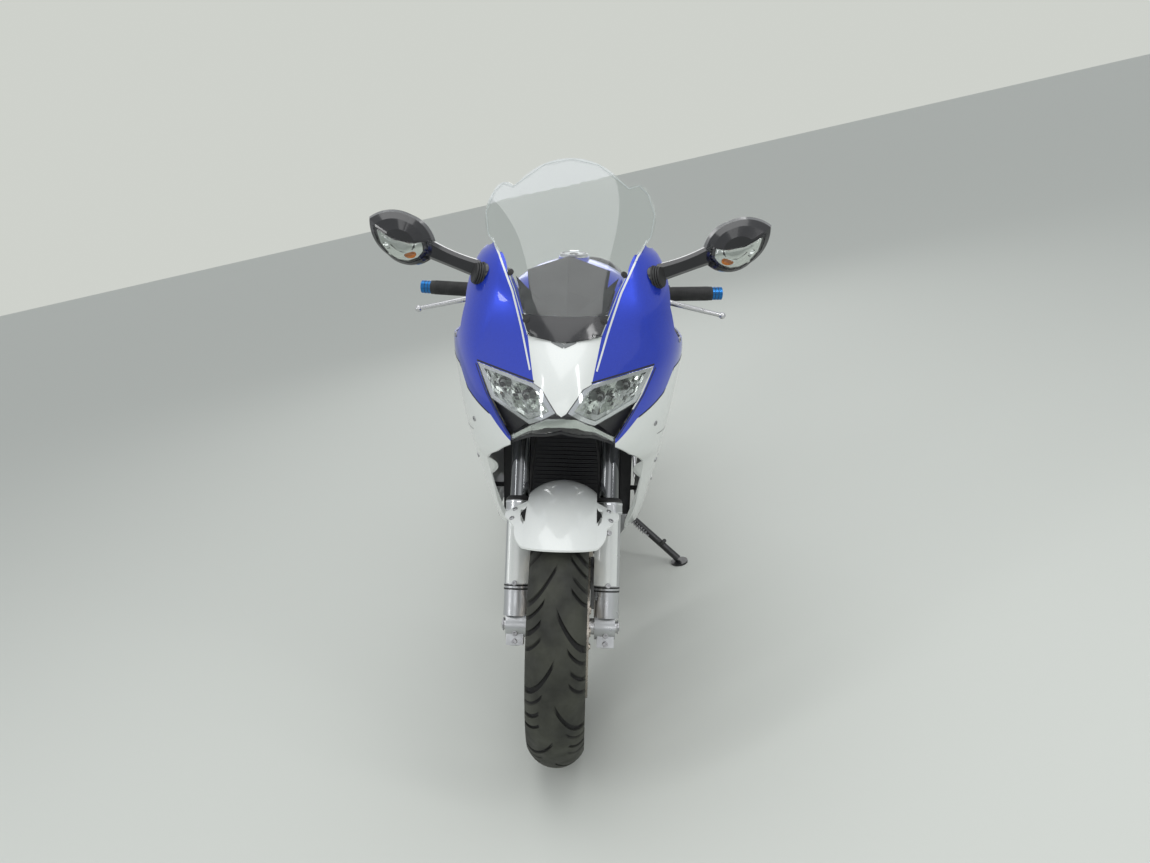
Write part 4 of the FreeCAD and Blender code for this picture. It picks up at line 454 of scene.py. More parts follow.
def dress(body, frame_of=Matrix(), **rows):
    """Makes pieces of several forms on one body; each row is a form's finish and its slot;
    the slot is not used.
    """
    for name, (finish_name, slot) in rows.items():
        piece(name, finish_name, body, frame_of=frame_of)


# %% Rings, rods, blocks and turned shapes
def facing(place, way):
    """Stands Z along a direction at a place."""
    return Matrix.Translation(place) @ Vector(way).to_track_quat("Z", "Y").to_matrix().to_4x4()


def around(count, radius=1.0, start=0.0):
    """Even places round a circle, each as its turn, cosine and sine, the last two times the radius."""
    for k in range(count):
        turn = start + 2 * pi * k / count
        yield turn, radius * cos(turn), radius * sin(turn)


def stitch(mesh, rings, closed=True, loop=False):
    """Faces between neighbouring rings of vertices; a ring of one vertex closes to a point."""
    for low, high in zip(rings, rings[1:] + rings[:1] if loop else rings[1:]):
        count = max(len(low), len(high))
        for k in range(count if closed else count - 1):
            ends = ((low, k), (low, k + 1), (high, k + 1), (high, k))
            corners = list(dict.fromkeys(ring[n % len(ring)] for ring, n in ends))
            if len(corners) > 2:
                mesh.faces.new(corners)


def rod(mesh, start, end, radius, end_radius=None, sides=16):
    """A round bar, or a taper, between two points."""
    start, end = Vector(start), Vector(end)
    bmesh.ops.create_cone(mesh, cap_ends=True, segments=sides, radius1=radius,
                          radius2=radius if end_radius is None else end_radius,
                          depth=(end - start).length, matrix=facing((start + end) / 2, end - start))


def block(mesh, middle, size, turn=Matrix()):
    """A box about its middle."""
    place = Matrix.Translation(middle) @ turn @ Matrix.Diagonal((*size, 1))
    bmesh.ops.create_cube(mesh, size=1, matrix=place)


def ball(mesh, middle, radius, sides, scale):
    """A ball, drawn out or flattened along each axis."""
    bmesh.ops.create_uvsphere(mesh, u_segments=sides, v_segments=sides // 2 + 2, radius=radius,
                              matrix=Matrix.Translation(middle) @ Matrix.Diagonal((*scale, 1)))


def lathe(mesh, profile, place, sides=24):
    """Turns (radius, height) points about the Z axis of a matrix."""
    rings = []
    for radius, height in profile:
        spots = around(sides if radius else 1, radius)
        rings.append([mesh.verts.new(place @ vec(x, y, height)) for _, x, y in spots])
    stitch(mesh, rings)


def ring_outline(inner, outer, low, high):
    """The outline of a flat ring, to be turned."""
    return [(inner, low), (outer, low), (outer, high), (inner, high), (inner, low)]


# %% Two kinds of bolt
def socket_bolt(mesh, place, way, radius=0.005, height=0.004):
    """A round-headed bolt with a hexagon socket."""
    hole = radius * 0.5
    lathe(mesh, [(0, height * 0.35), (hole, height * 0.35), (hole, height), (radius * 0.85, height),
                 (radius, height * 0.75), (radius, -0.002), (0, -0.002)], facing(place, way), 12)


def hexagon_bolt(mesh, place, way, radius=0.008, height=0.006):
    """A hexagon head on its washer."""
    place, washer = facing(place, way), radius * 1.35
    lathe(mesh, [(0, height), (radius * 0.8, height), (radius, height * 0.8), (radius, 0.001), (0, 0.001)],
          place, 6)
    lathe(mesh, [(0, 0.0012), (washer, 0.0012), (washer, -0.001), (0, -0.001)], place, 20)


# %% Extruded outlines and smooth curves
def prism(mesh, outline, low, high, place):
    """Extrudes an (x, y) outline along Z between two heights, then places it."""
    rings = [[mesh.verts.new(place @ vec(x, y, z)) for x, y in outline] for z in (low, high)]
    mesh.faces.new(rings[0])
    mesh.faces.new(rings[1])
    stitch(mesh, rings)


def smooth_line(points, steps=6):
    """More points on a smooth curve through the given ones."""
    points = [Vector(p) for p in points]
    ends, line = [points[0]] + points + [points[-1]], []
    for a, b, c, d in zip(ends, ends[1:], ends[2:], ends[3:]):
        for t in (step / steps for step in range(steps)):
            line.append(0.5 * (2 * b + (c - a) * t + (2 * a - 5 * b + 4 * c - d) * t * t
                               + (3 * b - a - 3 * c + d) * t ** 3))
    return line + [points[-1]]


def tube(mesh, points, radius, sides=10, steps=6):
    """A round cord or pipe along a smooth curve."""
    line, across, rings = smooth_line(points, steps), None, []
    for k, point in enumerate(line):
        way = (line[min(k + 1, len(line) - 1)] - line[max(k - 1, 0)]).normalized()
        across = way.orthogonal().normalized() if across is None else across
        across = (across - way * across.dot(way)).normalized()
        other = way.cross(across)
        rings.append([mesh.verts.new(point + radius * (c * across + s * other)) for _, c, s in around(sides)])
    stitch(mesh, rings)
    mesh.faces.new(rings[0])
    mesh.faces.new(rings[-1])


# %% Setting things on the construction pieces
def skin_of(*names):
    """The upright surface of construction pieces, to set other things on."""
    mesh = bmesh.new()
    for name in names:
        mesh.from_mesh(NODES[name].data)
    bmesh.ops.transform(mesh, matrix=UPRIGHT, verts=mesh.verts)
    tree = BVHTree.FromBMesh(mesh)
    mesh.free()
    return tree


def on_skin(tree, start, way=BACKWARD):
    """Where a look from a point meets a surface, and the surface's outward direction there."""
    way = Vector(way).normalized()
    hit, normal, _, _ = tree.ray_cast(Vector(start), way)
    return None if hit is None else (hit, normal if normal.dot(way) < 0 else -normal)


def front_sheet(mesh, tree, columns, rows, spot, missed=None):
    """A grid of faces on a surface, seen from ahead.

    The function spot gives x, z and how far behind the surface the point lies, for each column
    and row. Where the look misses the surface, the given depth holds, or else the last one.
    """
    grid, y = [[] for _ in range(columns + 1)], FRONT
    for i, line in enumerate(grid):
        for j in range(rows + 1):
            x, z, behind = spot(i, j)
            hit = on_skin(tree, (x, VIEW_Y, z))
            y = hit[0].y if hit else missed or y
            line.append(mesh.verts.new((x, y + behind, z)))
    stitch(mesh, grid, closed=False)


# %% Lines and screws on a surface
def on_skin_line(tree, points, way, spacing=0.006):
    """A polyline of starting points dropped on to a surface along one direction."""
    hits = []
    for start, end in zip(points, points[1:]):
        count = max(2, int((end - start).length / spacing))
        looks = (on_skin(tree, start.lerp(end, k / count), way) for k in range(count + 1))
        hits += [hit for hit in looks if hit]
    return hits


def front_line(tree, side, points, spacing=0.006, start=VIEW_Y, way=1):
    """A line of (across, height) points, dropped on to a surface from ahead or from behind."""
    return on_skin_line(tree, [vec(side * x, start, z) for x, z in points], (0, way, 0), spacing)


def side_line(tree, side, points, start=0.45):
    """A line of (place, height) points, dropped on to a surface from one side."""
    return on_skin_line(tree, [vec(side * start, y, z) for y, z in points], (-side, 0, 0))


def screws_on(mesh, tree, starts, way, radius, height):
    """A screw wherever a look meets a surface."""
    for start in starts:
        hit = on_skin(tree, start, way)
        if hit:
            socket_bolt(mesh, *hit, radius, height)


def ribbon(mesh, hits, width, lift=0.0003, sink=0.0008):
    """A flat band that lies on a surface along a line of hits."""
    rings = []
    for k, (point, normal) in enumerate(hits):
        way = hits[min(k + 1, len(hits) - 1)][0] - hits[max(k - 1, 0)][0]
        if way.length >= 1e-7:
            across = way.normalized().cross(normal).normalized() * width / 2
            rings.append([mesh.verts.new(point + across * side + normal * up)
                          for side, up in ((-1, -sink), (-1, lift), (1, lift), (1, -sink))])
    stitch(mesh, rings)
    for end in rings[:1] + rings[-1:]:
        mesh.faces.new(end)


# %% [markdown]
# ## Tyres
#
# The tread is the machine's nearest detail. The grid of each tyre is sheared so that its
# cross lines run along the grooves, which then have crisp edges without a fine mesh. Long
# grooves leave the middle by turns to the left and to the right, with short ones between.
#
# Grooves could be only a pattern in the rubber's finish, but the tyre's outline would stay
# smooth against the floor, so here they are real, and their depth sets a painted shade in them.

# %% Tyres with their tread
# share of the pitch, start and end from the middle (in half widths along the tread), half width
GROOVES = [(0.0, 0.02, 1.0, 0.0072), (0.49, 0.38, 1.0, 0.0052), (0.66, 0.40, 1.0, 0.0052),
           (0.83, 0.32, 1.0, 0.0052)]
GROOVE_DEPTH, GROOVE_WALL, GRID_STEP = 0.0046, 0.0009, 0.009
SHEAR, CROWN_COLUMNS = 0.40, 46
BEAD_RADIUS, FLANK_RADIUS = 0.218, 0.232


def tread_places(pitch):
    """Where the grid's cross lines lie along one pitch: at the grooves' edges and evenly between."""
    places = sorted({round((shift % 1 * pitch + edge) % pitch, 5) for share, _, _, half in GROOVES
                     for shift in (share, share + 0.5)
                     for edge in (-half - GROOVE_WALL, -half, half, half + GROOVE_WALL)})
    filled = []
    for low, high in zip(places, places[1:] + [places[0] + pitch]):
        count = max(1, ceil((high - low) / GRID_STEP))
        filled += [low + (high - low) * k / count for k in range(count)]
    return filled


def groove_depth(place, across, pitch):
    """How deep the tread is cut; place is sheared already, across runs from -1 to 1."""
    depth = 0
    for share, start, end, half in GROOVES:
        for side in (1, -1):
            middle = (share if side > 0 else share + 0.5) % 1 * pitch
            away = abs((place - middle + pitch / 2) % pitch - pitch / 2)
            run = across * side
            if away <= half + 1e-6 and start < run < end:
                depth = max(depth, GROOVE_DEPTH * min(1, (run - start) / 0.07, (end + 0.02 - run) / 0.09))
    return depth


# %% From bead to bead
def tyre(name, node, hub, radius, width, rise, bead, pitches, body):
    """A tyre from bead to bead, its crown cut by grooves."""
    half, shoulder = width / 2, radius - rise
    crown = (half ** 2 + rise ** 2) / (2 * rise)
    sweep, pitch = asin(half / crown), 2 * pi * radius / pitches
    rows = [(half * bead, BEAD_RADIUS + 0.0012, None), (half * bead, BEAD_RADIUS + 0.0132, None)]
    for share in (0.2, 0.4, 0.6, 0.8, 0.93):
        out = bead + (1 - bead) * sin(share * pi / 2)
        rows.append((half * out, FLANK_RADIUS + (shoulder - FLANK_RADIUS) * share, None))
    profile = [(-x, r, None) for x, r, _ in rows]
    for across in (2 * k / CROWN_COLUMNS - 1 for k in range(CROWN_COLUMNS + 1)):
        profile.append((crown * sin(across * sweep), radius - crown + crown * cos(across * sweep), across))
    profile += rows[::-1]
    mesh = forms[name]
    shade = mesh.verts.layers.float.new("groove_shade")
    rings = []
    for number in range(pitches):
        for place in tread_places(pitch):
            ring = []
            for x, r, across in profile:
                lag, tilt, depth = SHEAR * pitch, pi / 2, 0
                if across is not None:
                    lag *= 1 - (1 - abs(across)) ** 2.2
                    tilt, depth = across * sweep, groove_depth(place, across, pitch)
                turn = (number * pitch + place - lag) / radius
                x, r = x - sin(tilt) * depth, r - cos(tilt) * depth
                vert = mesh.verts.new((x, -cos(turn) * r, sin(turn) * r))
                # painted shade: the share of the full depth, which darkens the rubber in the grooves
                vert[shade] = depth / GROOVE_DEPTH
                ring.append(vert)
            rings.append(ring)
    stitch(mesh, rings, closed=False, loop=True)
    item = piece(name, "tyre_rubber", body, sharp=40, frame_of=hub)
    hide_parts(node)


tyre("front_tyre_with_tread", "front_tyre", FRONT_HUB, FRONT_RADIUS, 0.120, 0.038, 0.77, 10, "front_wheel")
tyre("rear_tyre_with_tread", "rear_tyre", REAR_HUB, REAR_RADIUS, 0.180, 0.048, 0.80, 11, "rear_wheel")

# %% [markdown]
# ## Drive chain
#
# The chain follows the same loop as in the construction model: two straight runs and an arc
# round each sprocket. Every second link is an outer one, and each pin carries a roller.
#
# A strip with a repeated picture would look closed from the side, where the eye sees through
# a real chain's links. So every link is made, with few faces, because there are over a hundred.

# %% Chain links
CHAIN_PITCH, CHAIN_LINE, PLATE_TALL = 0.015875, 0.168, 0.0072
FRONT_TEETH, REAR_TEETH = 17, 43
FRONT_SPROCKET, REAR_SPROCKET = vec(0, 0.100, 0.385), vec(0, REAR, REAR_RADIUS)


def chain_pins():
    """The pins' places round the loop."""
    small, large = (CHAIN_PITCH / 2 / sin(pi / teeth) for teeth in (FRONT_TEETH, REAR_TEETH))
    run = REAR_SPROCKET - FRONT_SPROCKET
    slope, splay = atan2(run.z, run.y), asin((large - small) / run.length)
    straight = run.length * cos(splay)
    rear_wrap, front_wrap = (pi + 2 * splay) * large, (pi - 2 * splay) * small
    total = 2 * straight + rear_wrap + front_wrap
    count = 2 * round(total / CHAIN_PITCH / 2)
    top, bottom = slope + pi / 2 + splay, slope - pi / 2 - splay
    arc_end, run_end = straight + rear_wrap, 2 * straight + rear_wrap

    def out(turn):
        return vec(0, cos(turn), sin(turn))

    pins = []
    for travel in (total * number / count for number in range(count)):
        if travel < straight:
            pins.append(FRONT_SPROCKET + out(top) * small + out(top - pi / 2) * travel)
        elif travel < arc_end:
            pins.append(REAR_SPROCKET + out(top - (travel - straight) / large) * large)
        elif travel < run_end:
            pins.append(REAR_SPROCKET + out(bottom) * large + out(bottom - pi / 2) * (travel - arc_end))
        else:
            pins.append(FRONT_SPROCKET + out(bottom - (travel - run_end) / small) * small)
    return pins


# %% Links, pins and rollers
def link_outline(length, tall):
    """A plate with round ends and a waist, seen from the side."""
    outline = []
    for end in (0, 1):
        for turn in (pi / 2 + end * pi + pi * step / 6 for step in range(7)):
            outline.append((length * end + tall * cos(turn), tall * sin(turn)))
        outline.append((length / 2, 0.6 * tall * (1 if end else -1)))
    return outline


def drive_chain():
    """All links, pins and rollers as one form."""
    mesh, pins = forms["chain_links"], chain_pins()
    print("links in the chain:", len(pins))
    for number, (here, ahead) in enumerate(zip(pins, pins[1:] + pins[:1])):
        way, middle = (ahead - here).normalized(), here + vec(CHAIN_LINE, 0, 0)
        turn = Matrix((vec(0, way.y, way.z), vec(0, -way.z, way.y), vec(1, 0, 0))).transposed()
        place = Matrix.Translation(middle) @ turn.to_4x4()
        near, far = (0.0050, 0.0070) if number % 2 else (0.0072, 0.0092)
        for low, high in ((near, far), (-far, -near)):
            prism(mesh, link_outline((ahead - here).length, PLATE_TALL), low, high, place)
        for reach, radius, sides in ((0.0098, 0.0024, 8), (0.0048, 0.0050, 10)):
            rod(mesh, middle - vec(reach, 0, 0), middle + vec(reach, 0, 0), radius, sides=sides)
    item = piece("chain_links", "chain_steel", "chassis")
    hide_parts("drive_chain")


drive_chain()

# %% [markdown]
# ## Wheels and brakes
#
# The discs take drilled rings in place of their plain ones; valve stems, axle nuts and the
# fork's fasteners finish the front end.
#
# Brake discs are drilled to shed water and heat. Cutting the holes out of a plain ring is slow
# and leaves slivers. Here every hole has its own cell of faces, so the ring is whole at once.

# %% Drilled discs
DISC_THICK, DISC_RADIUS, DISC_BORE = 0.0045, 0.155, 0.0185
DISC_FACE = 0.062 - DISC_THICK / 2


def drilled_ring(mesh, inner, outer, low, high, columns, rows, hole):
    """A flat ring with rows of round holes; every hole sits in its own cell of the ring."""
    layers = {}

    def vert(key, x, r, a):
        if key not in layers:
            layers[key] = mesh.verts.new((x, r * cos(a), r * sin(a)))
        return layers[key]

    turn, deep = 2 * pi / columns, (outer - inner) / rows
    corners = [(0, 0), (1, 0), (2, 0), (2, 1), (2, 2), (1, 2), (0, 2), (0, 1)]
    for column in range(columns):
        lift = 0.25 * (1 if column % 2 else -1)
        for row in range(rows):
            r0, a0, holes = inner + row * deep, column * turn, []
            middle_r = r0 + deep * (0.5 + 0.35 * lift)
            for x in (low, high):
                outside = [vert((x, (2 * column + u) % (2 * columns), 2 * row + v), x, r0 + v * deep / 2,
                                a0 + u * turn / 2) for u, v in corners]
                ways = [atan2(v - 1, u - 1) for u, v in corners]
                holes.append([vert((x, column, row, number, "hole"), x, middle_r + hole * sin(way),
                                   a0 + turn / 2 + hole * cos(way) / middle_r)
                              for number, way in enumerate(ways)])
                stitch(mesh, [outside, holes[-1]])
            stitch(mesh, holes)
    for v in (0, 2 * rows):
        for u in range(2 * columns):
            mesh.faces.new([layers[(x, (u + s) % (2 * columns), v)]
                            for x, s in ((low, 0), (low, 1), (high, 1), (high, 0))])


# %% The left disc with its carrier and bolts, and its twin on the right
disc = forms["front_discs_drilled"]
drilled_ring(disc, DISC_RADIUS - 0.033, DISC_RADIUS - 0.0003, 0, DISC_THICK, 36, 3, 0.0030)
for turn, y, z in around(8):
    spot = vec(0, y, z) * (DISC_RADIUS - 0.037)
    rod(disc, spot + vec(0.0002, 0, 0), spot + vec(DISC_THICK - 0.0002, 0, 0), 0.0075, sides=14)
    block(disc, vec(0, y, z) * (DISC_RADIUS - 0.066) + vec(DISC_THICK / 2, 0, 0),
          (DISC_THICK - 0.0006, 0.062, 0.011), Matrix.Rotation(turn, 4, "X"))
lathe(disc, ring_outline(DISC_BORE, 0.058, 0, DISC_THICK), ACROSS, 40)
bmesh.ops.translate(disc, vec=(DISC_FACE, 0, 0), verts=disc.verts[:])
lathe(disc, ring_outline(DISC_BORE, 0.030, 0.048, DISC_FACE), ACROSS, 32)
for _, y, z in around(5, 0.044, 0.3):
    hexagon_bolt(disc, (DISC_FACE + DISC_THICK, y, z), (1, 0, 0), 0.006, 0.004)
twin = bmesh.ops.duplicate(disc, geom=disc.verts[:] + disc.edges[:] + disc.faces[:])
twin_verts = [item for item in twin["geom"] if isinstance(item, bmesh.types.BMVert)]
bmesh.ops.scale(disc, vec=(-1, 1, 1), verts=twin_verts)
item = piece("front_discs_drilled", "disc_steel", "front_wheel", frame_of=FRONT_HUB)
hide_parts("front_discs")

# %% Valve stems
VALVE_TURN, BARREL = radians(36), 0.199
# start and end from the rim's barrel, radius, sides
VALVE_RODS = [(0, 0.016, 0.0052, 16), (0.016, 0.036, 0.0036, 16), (0.027, 0.037, 0.0046, 8)]
for name, hub, body in (("front_valve", FRONT_HUB, "front_wheel"), ("rear_valve", REAR_HUB, "rear_wheel")):
    out = vec(0, cos(VALVE_TURN), sin(VALVE_TURN))
    root, way = out * BARREL, (vec(0.5, 0, 0) - out).normalized()
    for start, end, radius, sides in VALVE_RODS:
        rod(forms[name], root + way * start, root + way * end, radius, sides=sides)
    piece(name, "soft_rubber", body, frame_of=hub)

# %% Fork tubes, seals, rings and bolts
FORK_AHEAD, LEG_X, SLIDER_TOP = -FORK_OFFSET, 0.102, 0.590
AXLE_UP = TRAIL * sin(RAKE) + FRONT_RADIUS * cos(RAKE)
rubber, metal, bolts = forms["fork_seals"], forms["fork_rings"], forms["fork_bolts"]
for side, _ in SIDES:
    x = side * LEG_X
    # the tubes' darkened chrome is partly a painted reflection of dark surroundings
    rod(forms["fork_tubes"], (x, FORK_AHEAD, SLIDER_TOP + 0.009), (x, FORK_AHEAD, 0.8365), 0.02165, sides=48)
    for up in (0.399, 0.391):
        lathe(rubber, mm(27.8, -1.8, 28.8, -1.8, 28.8, 1.8, 27.8, 1.8),
              Matrix.Translation((x, FORK_AHEAD, up)), 40)
    top = Matrix.Translation((x, FORK_AHEAD, SLIDER_TOP))
    lathe(rubber, mm(21.6, -2, 30.5, -2, 30.5, 4, 26, 9, 21.6, 11), top, 32)
    for down in (0.004, 0.022):
        lathe(metal, [(0.030, -down - 0.0016), (0.0317, -down - 0.0012), (0.0317, -down + 0.0012),
                      (0.030, -down + 0.0016)], top, 40)
    lathe(metal, mm(0, 6, 10, 6, 10.5, 4, 16, 4, 20.5, 1, 21, -4),
          Matrix.Translation((x, FORK_AHEAD, 1.062)), 28)
    foot = vec(x, FORK_AHEAD, AXLE_UP)
    hexagon_bolt(bolts, foot + vec(side * 0.026, 0, 0), (side, 0, 0), 0.011, 0.004)
    for down in (-0.036, -0.018):
        socket_bolt(bolts, foot + vec(side * -0.001, -0.0205, down), (0, -1, 0), 0.0062, 0.005)
    for up in (0.084, 0.104):
        socket_bolt(bolts, foot + vec(side * 0.0008, 0.0665, up), BACKWARD, 0.0055, 0.004)
    rod(bolts, foot + vec(0, 0, -0.046), foot + vec(0, 0, -0.043), 0.013, 0.015)
    for up in (0.850, 1.045):
        socket_bolt(bolts, (x * 0.86, FORK_AHEAD + 0.027, up), BACKWARD, 0.006, 0.005)
dress("steering", STEER, fork_seals=RUBBER, fork_rings=("polished", "bare_alloy"),
      fork_tubes=("dark_chrome", "fork_alloy"), fork_bolts=STEEL)

# %% The calipers' split lines, bolts, pistons and pad pins
CALIPER_TURN = Matrix.Rotation(radians(18), 4, "X")
dark, metal = forms["caliper_marks"], forms["caliper_bolts"]
for side, _ in SIDES:
    def at(across, back, up):
        """A point of the caliper, counted from the disc's middle plane."""
        return FRONT_HUB @ CALIPER_TURN @ vec(side * (0.062 + across), back, up)

    for back, up in ((0.155, 0.040), (0.155, -0.040), (0.112, 0.044), (0.112, -0.044)):
        socket_bolt(metal, at(0.026, back, up), (side, 0, 0), 0.0058, 0.004)
    for up in (0.019, -0.019):
        lathe(metal, mm(0, 3, 11, 3, 12.5, 1.5, 16.5, 1, 16.5, -1, 0, -1),
              facing(at(0.026, 0.134, up), (side, 0, 0)), 28)
    rod(dark, at(-0.028, 0.1685, 0.0), at(0.024, 0.1685, 0.0), 0.003)
    for up in (0.030, -0.030):
        block(dark, at(-0.002, 0.1682, up), (0.004, 0.0012, 0.030), CALIPER_TURN)
dress("steering", caliper_marks=RUBBER, caliper_bolts=STEEL)

# %% [markdown]
# ## Front fender
#
# A shaded pocket lies between the fender's dome and each bracket, and screws hold the dome and
# the guards in front of the fork legs.
#
# A pocket could be cut into the fender. It is shallow and always in shadow, so a thin dark
# sheet of painted shade that follows the surface looks the same.

# %% Painted shade in the fender's pockets, and bolts
# where the fender drops by more than STEEP, the last height holds
POCKET_COLUMNS, POCKET_ROWS, STEEP = 14, 3, 0.012
ABOVE, DOWNWARD = 0.9, (0, 0, -1)
tree, bolts = skin_of("front_fender"), forms["fender_bolts"]
for side, _ in SIDES:
    grid, z = [], 0.600
    for share in (j / POCKET_COLUMNS for j in range(POCKET_COLUMNS + 1)):
        wide, line = 0.011 * (1 - abs(2 * share - 1)) + 0.0004, []
        for i in range(POCKET_ROWS + 1):
            x, y = 0.0745 + wide * i / POCKET_ROWS, FRONT - 0.078 + 0.054 * share
            hit = on_skin(tree, (side * x, y, ABOVE), DOWNWARD)
            z = hit[0].z if hit and abs(hit[0].z - z) < STEEP else z
            # painted shade: a dark sheet on the fender where each pocket lies in shadow
            line.append(forms["fender_pockets"].verts.new((side * x, y, z + 0.0007)))
        grid.append(line)
    stitch(forms["fender_pockets"], grid, closed=False)
    screws_on(bolts, tree, [(side * 0.100, FRONT - 0.010, ABOVE), (side * 0.104, FRONT - 0.045, ABOVE)],
              DOWNWARD, 0.0055, 0.003)
    screws_on(bolts, tree, [(side * 0.104, FRONT - 0.30, z) for z in (0.400, 0.505)], BACKWARD,
              0.0058, 0.0032)
dress("steering", fender_pockets=("soot_and_painted_shade", "black_plastic"), fender_bolts=STEEL)

# %% [markdown]
# ## Headlamps
#
# Behind each clear lens lies a chromed form that is cut into facets and sinks into two round
# bowls, one for each bulb. It is drawn as a patch between the lens's lower and upper edge, and
# its depth is measured back from the lens itself.
#
# Facets drawn in a finish would not throw the lamps' light back from one place to the next,
# which is what makes a headlamp glitter, so each facet is a real face with a sharp edge.

# %% Lamp facets, bowls and bulbs
LENS_LOW = mm(14, 838, 64, 804.5, 147, 828)
LENS_HIGH = mm(41, 875, 58, 881, 181, 886.5)
BOWLS = [(0.074, 0.846, 0.030, 0.040), (0.126, 0.859, 0.024, 0.024)]  # across, height, radius, depth
LAMP_COLUMNS, LAMP_ROWS = 30, 12


def along_edge(edge, share):
    """A point at a share of an edge's length."""
    edge = [Vector(p) for p in edge]
    lengths = [(b - a).length for a, b in zip(edge, edge[1:])]
    travel = share * sum(lengths)
    for start, end, length in zip(edge, edge[1:], lengths):
        if travel <= length:
            return start.lerp(end, travel / length)
        travel -= length
    return edge[-1]


lens, glass, dark = skin_of("headlamps"), forms["lamp_bulbs"], forms["bulb_sockets"]
for side, _ in SIDES:
    def facet(i, j):
        """A point of the chromed form: two edges, a facet pattern and the bowls."""
        low, high = along_edge(LENS_LOW, i / LAMP_COLUMNS), along_edge(LENS_HIGH, i / LAMP_COLUMNS)
        spot = low.lerp(high, j / LAMP_ROWS)
        edge = min(i, LAMP_COLUMNS - i, j * 2, (LAMP_ROWS - j) * 2) / 3
        behind = 0.007 + 0.006 * min(1, edge) + 0.0011 * ((i // 2 + j // 2) % 2)
        for x, z, radius, deep in BOWLS:
            behind += deep * max(0, 1 - (hypot(spot.x - x, spot.y - z) / radius) ** 2)
        return side * spot.x, spot.y, behind

    front_sheet(forms["lamp_facets"], lens, LAMP_COLUMNS, LAMP_ROWS, facet)
    for x, z, _, deep in BOWLS:
        x, back = side * x, on_skin(lens, (side * x, VIEW_Y, z))[0].y + 0.010 + deep
        rod(glass, (x, back, z), (x, back - 0.020, z), 0.0062, 0.0056)
        rod(dark, (x, back - 0.020, z), (x, back - 0.026, z), 0.0058, 0.0042)
        rod(dark, (x, back + 0.004, z), (x, back - 0.003, z), 0.0105, 0.0095, 20)
piece("lamp_facets", "lamp_chrome", "chassis", sharp=8)
dress("chassis", lamp_bulbs=("frosted", "clear_lens"), bulb_sockets=("painted_steel", "black_steel"))

# %% Facets behind the clear strip that crosses below the lamps
STRIP_LINE = mm(0, 816.5, 30, 813.5, 62, 793.5, 104, 754.5)
STRIP_COLUMNS, STRIP_ROWS = 26, 4
strip = skin_of("position_lamp")
for side, _ in SIDES:
    def strip_facet(i, j):
        """A point of the strip's facets, which get lower towards its end."""
        spot, tall = along_edge(STRIP_LINE, i / STRIP_COLUMNS), 0.017 - 0.007 * min(1, max(0, (i - 8) / 8))
        return side * spot.x, spot.y + (0.5 - j / STRIP_ROWS) * tall, 0.0045 + 0.0032 * ((i + j) % 2)

    front_sheet(forms["strip_facets"], strip, STRIP_COLUMNS, STRIP_ROWS, strip_facet)
piece("strip_facets", "lamp_chrome", "chassis", sharp=8)

# %% [markdown]
# ## Screen and nose trim
#
# The screen's outline carries a thin bright band, a painted highlight where its cut edge
# catches the light. A stepped grey edge closes the white nose below it, and a white line and a
# black one follow the seams of the blue cowls.
#
# All of these lie on curved panels. Their points could be found one by one, but it is simpler
# to look from ahead along a flat outline and to lay a band along the places that are met.

# %% Painted highlight along the screen's edge, and stepped nose edge
SCREEN_EDGE = mm(74, 969, 107, 1045, 146, 1112, 174.5, 1141, 183.5, 1185, 168.5, 1227, 149.5, 1243.5,
                 126, 1238, 112, 1249, 60, 1285, 0, 1297)
NOSE_STEPS = mm(0, 951, 30, 962.5, 34.5, 967, 66, 966.5)
glass, nose = skin_of("windscreen"), skin_of("nose_cowl")
for side, _ in SIDES:
    # painted highlight: a bright band along the screen's outline
    ribbon(forms["screen_bead"], front_line(glass, side, SCREEN_EDGE, 0.004), 0.0017, 0.0004, 0.0004)
    for x, z in ((0.078, 0.994), (0.118, 1.074)):
        lathe(forms["screen_bolts"], mm(0, 3, 4.2, 3, 5.2, 1.6, 7.5, 1, 7.5, -1),
              facing(*on_skin(glass, (side * x, VIEW_Y, z))), 20)
    ribbon(forms["nose_edge"], front_line(nose, side, NOSE_STEPS, 0.005), 0.0085, 0.0011, 0.001)
dress("chassis", screen_bead=("painted_edge_highlight", "screen"), screen_bolts=RUBBER,
      nose_edge=("grey_trim", "black_plastic"))

# %% Dark band along the screen's foot
BAND_COLUMNS, BAND_ROWS = 24, 6


def band(i, j):
    """A point just ahead of the screen, in rows from the top down."""
    share = 2 * i / BAND_COLUMNS - 1
    z = 1.0035 - j / BAND_ROWS * (0.044 - 0.0065 * abs(share))
    return share * (0.0735 + (z - 0.967) * 0.40), z, -0.0003


front_sheet(forms["screen_band"], glass, BAND_COLUMNS, BAND_ROWS, band)
dress("chassis", screen_band=("gloss_black", "black_gloss"))

# %% White lines beside the screen, and black joints round the lamps
COACH_LINE = mm(66, 905, 86, 968, 112, 1040, 146, 1106, 171, 1136)
LAMP_JOINTS = [(mm(56.5, 886.7, 120, 889.7, 187, 893.2), 0.0034),
               (mm(190, 886, 165, 838, 111, 757), 0.0024)]
cowls = skin_of("side_cowl_left", "side_cowl_right", "nose_cowl")
for side, _ in SIDES:
    ribbon(forms["white_coach_lines"], front_line(cowls, side, COACH_LINE), 0.0042)
    for line, width in LAMP_JOINTS:
        ribbon(forms["black_lamp_joints"], front_line(cowls, side, line), width)
dress("chassis", white_coach_lines=("pearl_white", "white_paint"), black_lamp_joints=RUBBER)

# %% [markdown]
# ## Under the screen
#
# A dark cover closes the space between the nose and the instruments. It is seen through the
# screen from ahead, and the dials plainly from the saddle.
#
# The cover takes its depth from the screen itself, so that the gap between them stays even.
# The dials' marks are thin blocks, turned about the dial's middle.

